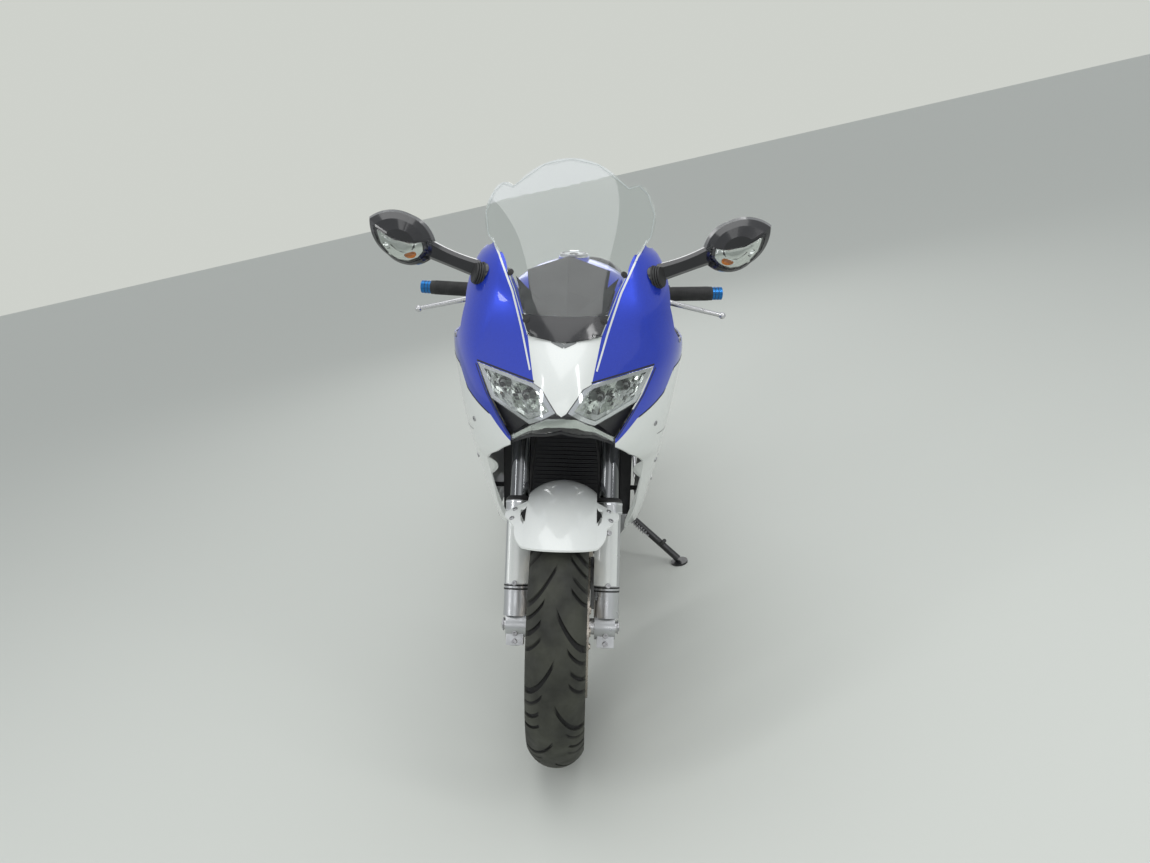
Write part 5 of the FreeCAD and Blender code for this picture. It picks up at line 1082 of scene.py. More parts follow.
# %% Dark cover
COVER_COLUMNS, COVER_ROWS = 28, 9


def cover(i, j):
    """A point behind the screen's foot; the cover rises towards its ends."""
    share, up = 2 * i / COVER_COLUMNS - 1, j / COVER_ROWS
    z = 0.961 + up * (0.034 + 0.070 * abs(share) ** 1.5)
    return share * (0.063 + (z - 0.961) * 0.42), z, 0.010 + 0.012 * up


front_sheet(forms["dash_cover"], glass, COVER_COLUMNS, COVER_ROWS, cover, missed=FRONT + 0.02)
bmesh.ops.solidify(forms["dash_cover"], geom=forms["dash_cover"].faces[:], thickness=0.002)
dress("chassis", dash_cover=PLASTIC)

# %% A round dial between two displays, and their buttons
DIAL_RADIUS, DIAL_UP, MARK_RADIUS, MARKS = 0.027, 1.046, 0.022, 25
glass, rings, marks = forms["dial_glass"], forms["dial_rings"], forms["dial_marks"]
face = on_skin(skin_of("cockpit"), (0, FRONT + 0.5, 1.045), (0, -1, 0))[0].y
dial = facing((0, face, DIAL_UP), BACKWARD)
lathe(glass, [(0, 0.002), (DIAL_RADIUS, 0.0015), (DIAL_RADIUS, -0.001)], dial, 40)
lathe(rings, [(DIAL_RADIUS, -0.001), (DIAL_RADIUS + 0.004, -0.001), (DIAL_RADIUS + 0.004, 0.004),
              (DIAL_RADIUS, 0.003), (DIAL_RADIUS, -0.001)], dial, 40)
for k in range(MARKS):
    turn = radians(-130 + 260 * k / (MARKS - 1))
    spot = vec(MARK_RADIUS * sin(turn), face + 0.0022, DIAL_UP + MARK_RADIUS * cos(turn))
    block(marks, spot, (0.0007, 0.0004, 0.004 if k % 4 else 0.006), Matrix.Rotation(turn, 4, "Y"))
rod(marks, (0, face + 0.0028, DIAL_UP), (-0.012, face + 0.0028, 1.057), 0.0006)
for side, _ in SIDES:
    block(glass, (side * 0.052, face, 1.035), (0.034, 0.003, 0.026))
    block(rings, (side * 0.052, face - 0.0003, 1.035), (0.040, 0.0028, 0.032))
    rod(rings, (side * 0.028, face - 0.001, 1.016), (side * 0.028, face + 0.003, 1.016), 0.0042)
dress("chassis", dial_glass=("blue_glass", "black_gloss"), dial_rings=("gloss_black", "black_plastic"),
      dial_marks=("light_guide", "strip_lens"))

# %% The stem nut round the open bore, the key switch and the risers' clamp bolts
YOKE_TOP, KEY_Y = 1.045 + 0.013, FORK_AHEAD - 0.004
metal, dark = forms["stem_nut_and_bolts"], forms["key_switch"]
key = Matrix.Translation((0, KEY_Y, YOKE_TOP))
lathe(metal, mm(9.2, 0, 24, 0, 24, 2, 19.5, 2.5, 19.5, 10, 17, 12, 9.2, 12, 9.2, 0),
      Matrix.Translation((0, 0, YOKE_TOP)), 30)
lathe(dark, mm(0, 18, 15, 18, 17.5, 15, 19, 0, 0, 0), key, 32)
lathe(metal, mm(0, 19.5, 9.5, 19.5, 10, 18), key, 24)
# painted shade: a black strip on the lock's metal face stands for the dark keyhole
block(dark, (0, KEY_Y, YOKE_TOP + 0.0196), (0.0016, 0.009, 0.0006))
for side, _ in SIDES:
    spot = (side * (LEG_X - 0.012), FORK_AHEAD + 0.0295, YOKE_TOP + 0.012)
    socket_bolt(metal, spot, BACKWARD, 0.0052, 0.004)
dress("steering", STEER, stem_nut_and_bolts=STEEL, key_switch=PLASTIC)

# %% [markdown]
# ## Trimmed panels
#
# Three painted panels are shown a little shorter than their plain solids: the blue cowls end
# in a point beside the screen, and the fender's guards stop above its brackets. Each is a
# merged copy that is cut by a plane, loses the faces beyond it and has its cuts closed.
#
# Drawing the panels again would be longer, and would never meet their neighbours so exactly.

# %% Cowl points and fork guards
GUARD_TOP = 0.566


def trimmed(name, node, finish_name, body, place, way, beyond):
    """A copy of a construction piece, cut by a plane, without the faces that a test picks out."""
    mesh = forms[name]
    mesh.from_mesh(NODES[node].data)
    bmesh.ops.transform(mesh, matrix=UPRIGHT, verts=mesh.verts)
    bmesh.ops.remove_doubles(mesh, verts=mesh.verts, dist=0.00002)
    everything = mesh.verts[:] + mesh.edges[:] + mesh.faces[:]
    bmesh.ops.bisect_plane(mesh, geom=everything, plane_co=place, plane_no=way)
    bmesh.ops.delete(mesh, geom=[f for f in mesh.faces if beyond(f.calc_center_median())], context="FACES")
    caps = bmesh.ops.holes_fill(mesh, edges=[e for e in mesh.edges if e.is_boundary], sides=0)["faces"]
    bmesh.ops.triangulate(mesh, faces=caps)
    item = piece(name, finish_name, body, sharp=30)
    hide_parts(node)


def guard_above(spot):
    """Whether a point belongs to a fork guard above the fender's brackets."""
    spot = STEER.inverted() @ spot
    away = hypot(abs(spot.x) - LEG_X, spot.y - FORK_AHEAD)
    return spot.z > GUARD_TOP and away < 0.0405 and abs(spot.x) > 0.060


for side, name in SIDES:
    corner, up = vec(side * 0.149, 0, 1.113), vec(-side * 0.657, 0, 0.754)
    trimmed("side_cowl_trimmed_" + name, "side_cowl_" + name, "royal_blue", "chassis",
            corner, up, lambda spot: (spot - corner).dot(up) > 0 and spot.y > FRONT + 0.15 and spot.z > 1.10)
trimmed("front_fender_trimmed", "front_fender", "pearl_white", "steering",
        STEER @ vec(0, 0, GUARD_TOP), STEER.to_3x3() @ vec(0, 0, 1), guard_above)

# %% [markdown]
# ## Mirrors
#
# Each housing carries a clear indicator lens with an amber bulb in the lower half of its
# front, and its glass at the back. The lens is a slice that follows the housing's own
# surface, so it is dropped on to it point by point.
#
# A copy of the housing, moved out a little, would do for the lens but not for its edge, and
# rings that draw in to the middle give the lens a crown of its own.

# %% Indicator lenses, bulbs, glass and arm boots
MIRROR_LENS = mm(297, 1107, 312, 1091, 338, 1082, 362, 1086.5, 384, 1100, 405, 1127, 413, 1158,
                 400, 1152, 370, 1135, 330, 1126, 300, 1128)
MIRROR_FACE = mm(293, 1106, 303, 1144, 335, 1171, 380, 1178, 413, 1165, 407, 1130, 385, 1103, 340, 1084)
AHEAD_Y, BEHIND_Y = FRONT - 0.2, FRONT + 0.4


def draped_patch(mesh, tree, outline, side, start_y, way_y, lift, rings):
    """A patch on a surface: rings of an outline drawn in to its middle, each point dropped on."""
    middle = sum((Vector(spot) for spot in outline), Vector((0, 0))) / len(outline)
    dense = [Vector(a).lerp(Vector(b), k / 3)
             for a, b in zip(outline, outline[1:] + outline[:1]) for k in range(3)]
    loops = []
    for share in (1 - ring / rings for ring in range(rings + 1)):
        rise, loop = lift * min(1.0, 0.25 + 2.2 * (1 - share)), []
        for point in dense if share > 0 else [middle]:
            spot = middle + (point - middle) * share
            hit = on_skin(tree, (side * spot.x, start_y, spot.y), (0, way_y, 0))
            y = (hit[0].y if hit else start_y + way_y * 0.2) - way_y * rise
            loop.append(mesh.verts.new((side * spot.x, y, spot.y)))
        loops.append(loop)
    stitch(mesh, loops)


rims = forms["mirror_rims"]
for side, name in SIDES:
    tree = skin_of("mirror_" + name)
    draped_patch(forms["mirror_lens_plates"], tree, MIRROR_LENS, side, AHEAD_Y, 1, 0.0006, 5)
    draped_patch(forms["mirror_lenses"], tree, MIRROR_LENS, side, AHEAD_Y, 1, 0.0052, 5)
    draped_patch(forms["mirror_glasses"], tree, MIRROR_FACE, side, BEHIND_Y, -1, 0.0007, 4)
    edge = front_line(tree, side, MIRROR_LENS + MIRROR_LENS[:1], 0.004, AHEAD_Y)
    ribbon(rims, edge, 0.0026, 0.0014, 0.0006)
    edge = front_line(tree, side, MIRROR_FACE + MIRROR_FACE[:1], 0.005, BEHIND_Y, -1)
    ribbon(rims, edge, 0.0030, 0.0020, 0.0006)
    for form, x, z, nearer, radius, sides, scale in (
            ("mirror_bulbs", 0.334, 1.102, 0.0008, 0.0085, 20, (1.5, 0.28, 1.0)),
            ("mirror_lens_plates", 0.381, 1.121, 0.0002, 0.008, 18, (1.2, 0.25, 1.0))):
        spot = on_skin(tree, (side * x, AHEAD_Y, z))[0]
        ball(forms[form], spot - vec(0, nearer, 0), radius, sides, scale)
    foot, way = vec(side * 0.186, FRONT + 0.142, 1.062), vec(side * 0.85, -0.35, 0.25).normalized()
    for k in range(4):
        start, radius = foot + way * (0.0045 * k - 0.001), 0.0275 - 0.0016 * k
        rod(forms["mirror_boots"], start, start + way * 0.003, radius, radius - 0.0013, 36)
dress("chassis", mirror_lens_plates=CHROME, mirror_lenses=LENS, mirror_bulbs=AMBER,
      mirror_glasses=("mirror_glass", "reflector"), mirror_rims=("gloss_black", "black_gloss"),
      mirror_boots=RUBBER)

# %% [markdown]
# ## Handlebars
#
# The grips get their ribs, the switch blocks their buttons, the reservoirs their lids, and
# cables and hoses run from the levers to the steering head.
#
# Both ends carry the same things, so they are described once, on the left, and each point is
# mirrored by its side's sign. Mirroring the whole form would also mirror the red stop switch,
# which is on the right end alone.

# %% Grips, switches, reservoirs and cables
UP = vec(0, 0, 1)
ROOT = STEER @ vec(LEG_X + 0.006, 0.020 - FORK_OFFSET, 1.045 + 0.040)
END = vec(0.360, FRONT + 0.390, 0.992)
ALONG, LEVER_WAY = (END - ROOT).normalized(), vec(0, -1, -0.1).normalized()
BACK = ALONG.cross(UP).normalized() if ALONG.cross(UP).y > 0 else UP.cross(ALONG).normalized()
RIBS, GRIP_START, GRIP_END = 22, ROOT + ALONG * 0.128, END - ALONG * 0.022
SWITCH, PERCH, WEIGHT = ROOT + ALONG * 0.104, ROOT + ALONG * 0.062, END - ALONG * 0.010
LID = PERCH + LEVER_WAY * 0.026 + vec(-0.014, 0, 0.056)
HOSE = [PERCH + LEVER_WAY * 0.030 + vec(-0.030, 0, 0.004), PERCH + vec(-0.050, -0.050, -0.010),
        vec(0.052, FRONT + 0.175, 0.940), vec(0.040, FRONT + 0.150, 0.900)]
WIRE = [SWITCH + vec(-0.016, -0.010, -0.018), ROOT + ALONG * 0.045 + vec(0, -0.004, -0.020),
        ROOT + vec(-0.018, -0.020, -0.030), vec(0.060, FRONT + 0.190, 0.930)]
BUTTONS = ((-0.012, 0.006, (0.010, 0.004, 0.008)), (0.004, 0.004, (0.012, 0.005, 0.006)),
           (0.004, -0.008, (0.010, 0.005, 0.006)))
plastic, metal = forms["switches"], forms["bar_bolts"]
for side, _ in SIDES:
    def at(point):
        """The same place on this side."""
        return vec(side * point.x, point.y, point.z)

    def band_at(mesh, middle, start, end, radius, sides):
        """A short rod along the bar, between two distances from a place on it."""
        rod(mesh, at(middle + ALONG * start), at(middle + ALONG * end), radius, sides=sides)

    reach = (GRIP_END - GRIP_START).length - 0.020
    for k in range(RIBS):
        spot = GRIP_START + ALONG * (0.010 + reach * k / (RIBS - 1))
        band_at(forms["grip_ribs"], spot, -0.0012, 0.0012, 0.01705, 28)
    for number, (shift, tall, size) in enumerate(BUTTONS):
        mesh = forms["stop_switch"] if side < 0 and number == 0 else plastic
        block(mesh, at(SWITCH + ALONG * shift + BACK * 0.0195 + UP * tall), size)
    band_at(plastic, SWITCH, -0.0215, -0.0205, 0.0212, 28)
    band_at(plastic, SWITCH, 0.0005, 0.0015, 0.0209, 28)
    band_at(plastic, WEIGHT, -0.006, -0.0048, 0.01565, 32)
    band_at(plastic, WEIGHT, 0.002, 0.0032, 0.01565, 32)
    lathe(plastic, mm(0, 4.5, 16.5, 4.5, 19.8, 3, 19.8, -4, 19, -4), Matrix.Translation(at(LID)), 32)
    for _, x, y in around(2, 0.012, pi / 4):
        socket_bolt(metal, at(LID + vec(x, y, 0.0042)), UP, 0.0028, 0.0018)
    for tall in (0.008, -0.008):
        socket_bolt(metal, at(PERCH - LEVER_WAY * 0.0185 + UP * tall), -LEVER_WAY, 0.0045, 0.004)
    pivot = PERCH + LEVER_WAY * 0.038
    rod(metal, at(pivot - UP * 0.010), at(pivot + UP * 0.012), 0.0062, sides=8)
    tube(forms["cables"], [at(point) for point in HOSE], 0.0035, 10)
    tube(forms["cables"], [at(point) for point in WIRE], 0.003, 8)
dress("steering", grip_ribs=RUBBER, switches=PLASTIC, stop_switch=("red_plastic", "red_lens"),
      bar_bolts=STEEL, cables=RUBBER)

# %% [markdown]
# ## Seats
#
# The two cushions replace their plain solids. Each is lofted through rounded sections, and a
# cord of piping runs round it where the top panel meets the side.
#
# A box under a smoothing modifier would be quicker, but its crown, its seam and its piping
# could not be placed. Each section is a circle pressed towards a square, so four numbers say it.

# %% Rider's and passenger's cushions
SECTION_POINTS, PIPING_AT = 26, {1: 4, -1: 9}
END_SHARES = {0: 0.86, 1: 0.96, 2: 0.99}


def cushion_section(half, low, high):
    """One rounded section of a cushion, as (x, z) points round it."""
    middle, tall, points = (low + high) / 2, (high - low) / 2, []
    for _, c, s in around(SECTION_POINTS):
        x = half * copysign(abs(c) ** 0.55, c)
        z = middle + tall * copysign(abs(s) ** (0.62 if s > 0 else 0.30), s)
        points.append((x, z - (0.10 * tall * (x / half) ** 2 if s > 0 else 0)))
    return points


def cushion(name, node, rows, seam):
    """A cushion through (place, half width, bottom, top) rows, with piping and one cross seam."""
    mesh, rings, edges = forms[name], [], {1: [], -1: []}
    dense = smooth_line(rows, 7)
    for index, (place, half, low, high) in enumerate(dense):
        draw_in = END_SHARES.get(min(index, len(dense) - 1 - index), 1)
        dip = 0.0035 * max(0, 1 - abs(place - seam) / 0.012)
        points = cushion_section(half * draw_in, low, low + (high - low) * (0.9 + 0.1 * draw_in) - dip)
        rings.append([mesh.verts.new((x, place, z)) for x, z in points])
        for side, number in PIPING_AT.items():
            x, z = points[number]
            edges[side].append(vec(x * 1.004, place, z + 0.0006))
    stitch(mesh, rings)
    mesh.faces.new(rings[0])
    mesh.faces.new(rings[-1])
    for edge in edges.values():
        tube(forms[name + "_piping"], edge[2:-2], 0.0021, 8, 2)
    item = piece(name, "seat_cover", "chassis", sharp=50)
    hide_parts(node)
    piece(name + "_piping", "soft_rubber", "chassis")


cushion("rider_cushion", "rider_seat",
        [(0.120, 0.064, 0.775, 0.820), (0.200, 0.095, 0.772, 0.803), (0.330, 0.136, 0.775, 0.799),
         (0.427, 0.144, 0.790, 0.829)], 0.235)
cushion("passenger_cushion", "pillion_seat",
        [(0.437, 0.130, 0.792, 0.855), (0.560, 0.132, 0.812, 0.881), (0.759, 0.096, 0.852, 0.895)], 0.600)

# %% [markdown]
# ## Panels
#
# Screws hold the panels, and dark joints part them. Slats cross the slot in each flank, and
# the tank gets its filler ring's screws and the lock in its lid.
#
# Screws and joints are given in a side view, as they would be on a drawing, and looked on to
# the panel, so that they follow it and face outwards wherever it curves.

# %% Panel screws, joints and slats
# places count from the front hub
BESIDE = 0.45
COWL_SEAM = mm(14, 792.5, 94, 828.5, 134, 870.5, 214, 882.5, 584, 802.5)
COWL_SCREWS = mm(165, 925, 330, 870, 545, 835)
FLANK_SCREWS = mm(75, 760, 300, 740, 590, 745, 640, 620, 655, 500, 430, 300, 600, 290, 255, 610)
FLANK_JOINTS = [(mm(110, 725, 300, 700, 600, 620, 640, 560), 0.0016, 0.0002),
                (mm(370, 375, 480, 405, 640, 470), 0.0016, 0.0002),
                (mm(292, 672, 563, 596, 592, 543, 327, 622, 292, 672), 0.006, 0.0008)]
SLOT_TOP = [Vector((0.300, 0.668)), Vector((0.560, 0.590))]
SLOT_FOOT = [Vector((0.330, 0.628)), Vector((0.585, 0.548))]
for side, name in SIDES:
    blue, white = skin_of("side_cowl_" + name), skin_of("lower_fairing_" + name)
    for tree, line, *sizes in [(blue, COWL_SEAM, 0.003)] + [(white, *row) for row in FLANK_JOINTS]:
        ribbon(forms["panel_joints"], side_line(tree, side, [(FRONT + y, z) for y, z in line]), *sizes)
    for tree, spots in ((blue, COWL_SCREWS), (white, FLANK_SCREWS)):
        starts = [(side * BESIDE, FRONT + y, z) for y, z in spots]
        screws_on(forms["panel_screws"], tree, starts, (-side, 0, 0), 0.006, 0.0022)
    for share in (0.28, 0.56, 0.84):
        start, end = (top.lerp(foot, share) for top, foot in zip(SLOT_TOP, SLOT_FOOT))
        line = []
        for spot in (start.lerp(end, k / 8) for k in range(9)):
            above = on_skin(white, (side * BESIDE, FRONT + spot.x, spot.y + 0.045), (-side, 0, 0))
            x = (abs(above[0].x) if above else 0.21) - 0.012
            line.append(vec(side * x, FRONT + spot.x, spot.y))
        for a, b in zip(line, line[1:]):
            turn = (b - a).to_track_quat("Y", "Z").to_matrix().to_4x4()
            block(forms["flank_slats"], (a + b) / 2, (0.010, (b - a).length * 1.01, 0.0025), turn)
dress("chassis", panel_screws=STEEL, panel_joints=RUBBER, flank_slats=PLASTIC)

# %% The filler's ring, screws and lock
LID_Y, LID_TOP, LOCK_Y = -0.150, 1.0553, -0.156
lid, lock = forms["lid_trim"], forms["lid_lock"]
for _, x, y in around(6, 0.031, pi / 6):
    socket_bolt(lid, (x, LID_Y + y, LID_TOP), UP, 0.0036, 0.0016)
lathe(lid, mm(36, -6, 36.2, 0, 34, 1.2, 32.5, 0.6, 32.5, -2),
      Matrix.Translation((0, LID_Y, LID_TOP)), 48)
lathe(lock, mm(0, 2.2, 10, 2.2, 12, 1.2, 12, 0), Matrix.Translation((0, LOCK_Y, LID_TOP)), 28)
block(lock, (0, LOCK_Y, LID_TOP + 0.0023), (0.0014, 0.007, 0.0006))
dress("fuel_cap", lid_trim=("bolt_steel", "cap_metal"), lid_lock=("painted_steel", "black_steel"))

# %% [markdown]
# ## Engine, radiator and exhaust
#
# The plain engine blocks get cover screws, head covers with their ribs, and plug caps. The
# radiator gets its tubes and fins and two hoses, the exhaust its clamps and end cap.
#
# Castings carry their bolts in rings and rows, so each cover and each cylinder is a row of a
# small table, and one loop dresses them all. The hoses are pipes along smooth curves.

# %% Engine bolts, ribs and head covers
# cover middle, bolt circle, which way it faces, bolts
COVERS = [((0.1603, -0.062, 0.300), 0.054, 1, 7), ((-0.1643, -0.052, 0.310), 0.062, -1, 8)]
# cylinder place, its slope in degrees, half width, half depth, height
CYLINDERS = [((0, -0.086, 0.420), 53, 0.096, 0.072, 0.250), ((0, 0.036, 0.468), -37, 0.092, 0.066, 0.222)]
screws, cast, dark = forms["engine_screws"], forms["engine_ribs"], forms["plug_caps"]
for middle, radius, way, count in COVERS:
    for _, y, z in around(count, radius, 0.4):
        socket_bolt(screws, Vector(middle) + vec(0, y, z), (way, 0, 0), 0.0052, 0.004)
    cover_face = facing(middle, (way, 0, 0))
    lathe(cast, mm(0, 5.5, 30, 5.5, 34, 2, 34, -1), cover_face, 32)
    lathe(cast, mm(38, 0, 38, 2.2, 42, 2.2, 42, 0), cover_face, 40)
for _, y, z in around(6, 0.026):
    socket_bolt(screws, (-0.1583, 0.062 + y, 0.250 + z), (-1, 0, 0), 0.0042, 0.003)
for middle, slope, half, deep, tall in CYLINDERS:
    turn = Matrix.Rotation(radians(slope), 4, "X")
    place = Matrix.Translation(middle) @ turn
    block(cast, place @ vec(0, 0, tall - 0.030), (2 * half + 0.006, 2 * deep + 0.004, 0.0025), turn)
    for side, _ in SIDES:
        for up in (0.10, 0.125, 0.150):
            block(cast, place @ vec(side * (half + 0.001), 0, up), (0.004, 2 * deep * 0.86, 0.004), turn)
        for way in (1, -1):
            socket_bolt(screws, place @ vec(side * (half + 0.0005), 0.62 * way * deep, tall - 0.018),
                        (side, 0, 0), 0.0055, 0.0045)
            plug = vec(side * half * 0.45, 0.45 * way * deep, tall)
            rod(dark, place @ (plug - UP * 0.001), place @ (plug + UP * 0.006), 0.013, 0.011, 20)
lathe(dark, mm(0, 12, 10, 12, 13, 10, 13, 0), facing((0.1501, -0.005, 0.352), (1, 0, 0)), 12)
for y in (-0.110, -0.070, -0.030, 0.010, 0.050):
    block(cast, (0, y, 0.1505), (0.110, 0.004, 0.006))
dress("chassis", engine_screws=STEEL, engine_ribs=("cover_alloy", "cover_alloy"), plug_caps=RUBBER)

# %% Radiator tubes, fins and hoses
TUBES, FINS = 20, 66
core = forms["radiator_core"]
for k in range(TUBES):
    block(core, (0, -0.4048, 0.448 + 0.206 * k / (TUBES - 1)), (0.266, 0.0022, 0.0022))
for k in range(FINS):
    block(core, (-0.132 + 0.264 * k / (FINS - 1), -0.4044, 0.551), (0.0006, 0.0012, 0.208))
for side, low, end in ((1, 0.470, 0.418), (-1, 0.640, 0.580)):
    hose = [(side * 0.146, -0.368, low), (side * 0.142, -0.338, low - 0.004),
            (side * 0.118, -0.300, low - 0.030), (side * 0.092, -0.272, end)]
    tube(forms["radiator_hoses"], hose, 0.0135, 16)
    rod(forms["hose_clips"], (side * 0.146, -0.366, low), (side * 0.1455, -0.356, low - 0.001), 0.0148,
        sides=24)
dress("chassis", radiator_core=("fin_alloy", "engine_alloy"), radiator_hoses=RUBBER, hose_clips=STEEL)

# %% Exhaust clamps, flange bolts and the silencer's end cap
OUTLET_WAY = vec(-0.09, 0.93, 0.36).normalized()
metal, dark = forms["exhaust_clamps"], forms["outlet_dark"]
cap = facing(vec(-0.166, 0.345, 0.246) + OUTLET_WAY * 0.420, OUTLET_WAY)
lathe(metal, mm(21.5, -60, 21.5, 3, 23.5, 4, 25.5, 3, 25.5, -2), cap, 36)
# soot and painted shade: a dark cup inside the outlet, where the pipe is sooty and in shadow
lathe(dark, mm(0, -55, 21.2, -55, 21.2, -2), cap, 36)
for _, x, y in around(6, 0.034):
    socket_bolt(metal, cap @ vec(x, y, 0.0006), OUTLET_WAY, 0.0034, 0.0022)
clamp = facing((-0.1465, 0.352, 0.2475), (-0.05, 0.55, 0.33))
lathe(metal, mm(24.2, -8, 26.2, -8, 26.2, 8, 24.2, 8), clamp, 40)
rod(metal, clamp @ vec(0.0262, -0.012, 0), clamp @ vec(0.0262, 0.014, 0), 0.0038, sides=12)
for side, _ in SIDES:
    root, foot = vec(side * 0.052, -0.318, 0.470), vec(side * 0.0528, -0.330, 0.435)
    flange = facing(root.lerp(foot, 0.3), foot - root)
    lathe(metal, mm(17.2, -4, 26, -4, 26, 3, 17.2, 3), flange, 28)
    for across in (0.021, -0.021):
        hexagon_bolt(metal, flange @ vec(across, 0, 0.003), foot - root, 0.0048, 0.005)
dress("chassis", exhaust_clamps=("stainless", "stainless"), outlet_dark=("soot_and_painted_shade", "black_steel"))

# %% [markdown]
# ## Rear wheel and arm
#
# On a one-sided arm the wheel is held by nuts on its right face, and the sprocket by bolts on
# the left. The chain adjuster's clamp closes the arm's end.
#
# Nuts and rings are turned shapes: a profile of a few points goes round an axis, with six
# sides for a nut and many for a ring.

# %% Wheel nuts, sprocket bolts and arm details
NUT_FACE, RIGHTWARD, LEFTWARD = -0.0343, (-1, 0, 0), (1, 0, 0)
wheel, arm = forms["wheel_nuts"], forms["arm_bolts"]
for _, y, z in around(4, 0.042, pi / 4):
    nut = facing(REAR_HUB @ vec(NUT_FACE, y, z), RIGHTWARD)
    lathe(wheel, mm(0, 16, 7, 16, 8.5, 13, 9.8, 0, 9.8, -1), nut, 6)
    lathe(wheel, mm(9.5, 2, 13.5, 2, 14, 0), nut, 24)
lathe(wheel, mm(14.2, 0.6, 24, 0.6, 26, 4, 28, 4, 28.5, 0),
      facing(REAR_HUB @ vec(NUT_FACE, 0, 0), RIGHTWARD), 36)
for _, y, z in around(6, 0.044):
    hexagon_bolt(wheel, REAR_HUB @ vec(0.1706, y, z), LEFTWARD, 0.0072, 0.006)
for z in (0.297, 0.345):
    socket_bolt(arm, (0.1505, REAR - 0.150, z), LEFTWARD, 0.0065, 0.006)
lathe(arm, mm(12.5, 0, 12.5, 6, 22, 6, 22, 0), facing((0.1462, 0.160, 0.400), LEFTWARD), 6)
dress("rear_wheel", wheel_nuts=STEEL)
dress("chassis", arm_bolts=STEEL)

# %% [markdown]
# ## Footrests and stand
#
# Rubbers cover the pegs and the gear pedal's toe, and a coil spring holds the stand.
#
# The spring could be one turn of wire, repeated, but its ends would then need joining. Its
# wire follows one formula instead, and its first and last point are where the hooks begin.

# %% Peg rubbers and hanger bolts
PEGS = (((0.196, 0.310, 0.346), 0.084), ((0.164, 0.560, 0.564), 0.082))  # root and length
PEG_RADIUS, PEG_TIP, PEG_RIBS = 0.0116, 0.0096, 12
rubber, metal = forms["peg_rubbers"], forms["hanger_bolts"]
for side, _ in SIDES:
    for (x, y, z), length in PEGS:
        root, end = vec(side * x, y, z), vec(side * (x + length), y, z)
        for share in ((k + 0.2) / PEG_RIBS for k in range(PEG_RIBS)):
            size = PEG_RADIUS + (PEG_TIP - PEG_RADIUS) * share + 0.0012
            rod(rubber, root.lerp(end, share), root.lerp(end, share + 0.045), size, sides=18)
        rod(rubber, root, end, PEG_RADIUS + 0.0004, PEG_TIP + 0.0004, 18)
        ball(metal, end - vec(side * 0.0025, 0, 0), PEG_TIP, 14, (0.44, 1, 1))
    for k in range(8):
        spot = vec(side * (0.212 + 0.0045 * k), 0.142, 0.322)
        rod(rubber, spot, spot + vec(side * 0.0026, 0, 0), 0.0094)
    for y, z in ((0.154, 0.492), (0.184, 0.492), (0.296, 0.360)):
        socket_bolt(metal, (side * 0.1932, y, z), (side, 0, 0), 0.0072, 0.006)
dress("chassis", peg_rubbers=RUBBER, hanger_bolts=STEEL)

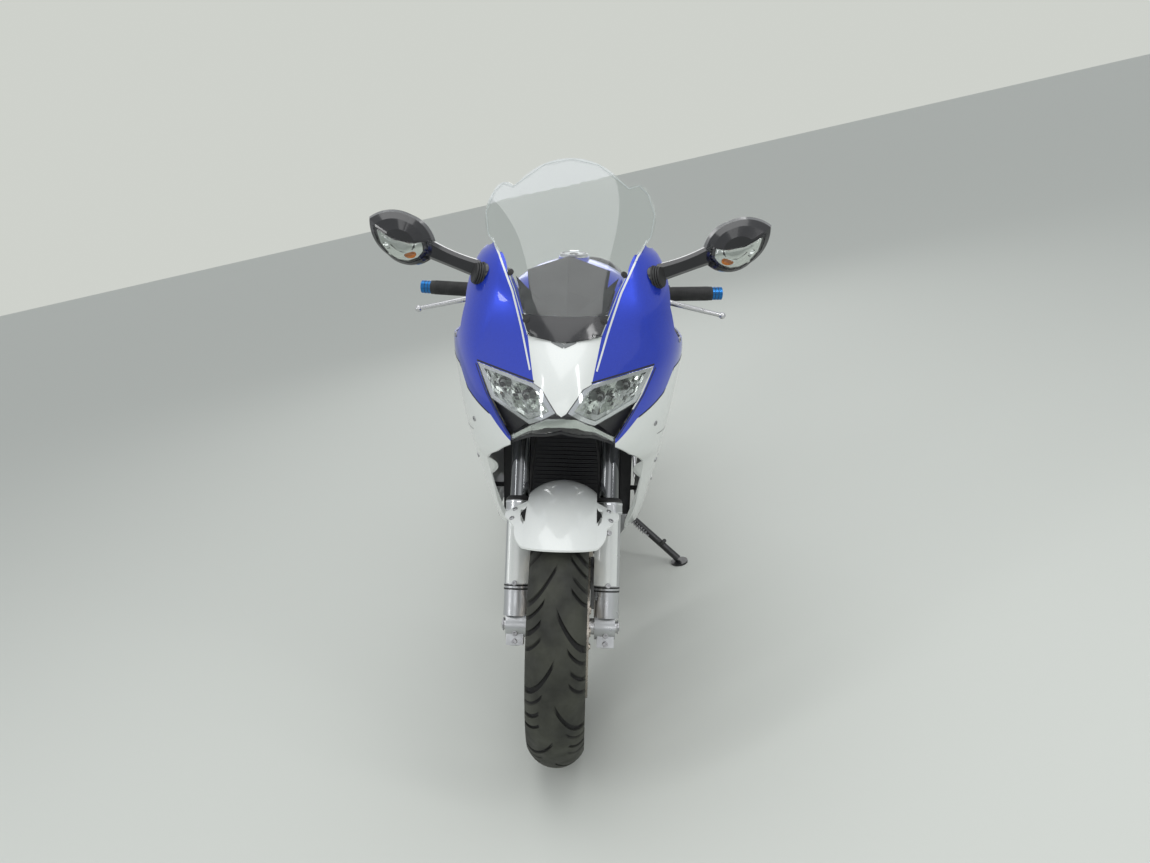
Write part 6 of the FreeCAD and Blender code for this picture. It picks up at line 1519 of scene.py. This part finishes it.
# %% The coil spring beside the stand's leg, hooked at both ends
COILS, COIL_STEPS, COIL_RADIUS, WIRE_RADIUS, HOOK_RADIUS = 13, 13 * 12, 0.0062, 0.0013, 0.0026
STAND_FOOT = vec(0.345, 0.030, 0.080)
mesh, pivot = forms["stand_spring"], UPRIGHT @ Vector(JOINTS["side_stand_fold"]["pos_m"])
axis = (UPRIGHT.to_3x3() @ Vector(JOINTS["side_stand_fold"]["axis"])).normalized()
out = (STAND_FOOT - pivot).normalized()
aside = out.cross(axis).normalized()
start, end = pivot + out * 0.030 + aside * 0.022, pivot + out * 0.150 + aside * 0.0205
way = (end - start).normalized()
across = way.cross(axis).normalized()
line = [start - way * 0.012]
other = way.cross(across)
for k in range(COIL_STEPS + 1):
    turn = 2 * pi * COILS * k / COIL_STEPS
    line.append(start.lerp(end, k / COIL_STEPS) + COIL_RADIUS * (cos(turn) * across + sin(turn) * other))
line.append(end + way * 0.010)
tube(mesh, line, WIRE_RADIUS, 6, 1)
rod(mesh, line[0], pivot + out * 0.020 + aside * 0.012, HOOK_RADIUS, sides=10)
rod(mesh, line[-1], line[-1] - aside * 0.011, HOOK_RADIUS, sides=10)
dress("side_stand", stand_spring=STEEL)

# %% [markdown]
# ## Tail
#
# A grid of bright points lies behind the red lens, and each rear indicator gets its amber
# bulb under a clear lens.
#
# A lens over a bright ball gives depth that a coloured cap does not: from a low angle the
# bulb moves behind its cover.

# %% Tail lamp points, rear indicators, screws and joints
TAIL_BESIDE, INDICATOR_Z = 0.35, 0.744
TAIL_SCREWS = mm(200, 690, 380, 720, 560, 760, 800, 835)
TAIL_JOINT = mm(470, 700, 500, 740, 780, 818, 930, 858)
tree = skin_of("tail_cowl")
for z in (0.866, 0.872, 0.878):
    for k in range(9):
        ball(forms["tail_points"], (-0.030 + 0.060 * k / 8, 1.0003, z), 0.0022, 10, (1, 0.35, 1))
for side, _ in SIDES:
    for y in (1.0285, 1.0035):
        ball(forms["rear_bulbs"], (side * 0.136, y, INDICATOR_Z), 0.008, 18, (1.7, 0.35, 0.9))
    for y in (1.0265, 1.0055):
        ball(forms["rear_lenses"], (side * 0.135, y, INDICATOR_Z), 0.010, 24, (2.0, 0.62, 1.15))
    for x in (0.086, 0.092, 0.098, 0.104):
        start = vec(side * x, 1.016, INDICATOR_Z)
        rod(forms["indicator_boots"], start, start + vec(side * 0.003, 0, 0), 0.0104, sides=20)
    screws_on(forms["tail_screws"], tree, [(side * TAIL_BESIDE, y, z) for y, z in TAIL_SCREWS], (-side, 0, 0),
              0.0055, 0.0022)
    ribbon(forms["tail_joints"], side_line(tree, side, TAIL_JOINT, TAIL_BESIDE), 0.0018, 0.0002)
dress("chassis", tail_points=("red_plastic", "red_lens"), rear_bulbs=AMBER, rear_lenses=LENS,
      indicator_boots=RUBBER, tail_screws=STEEL, tail_joints=RUBBER)
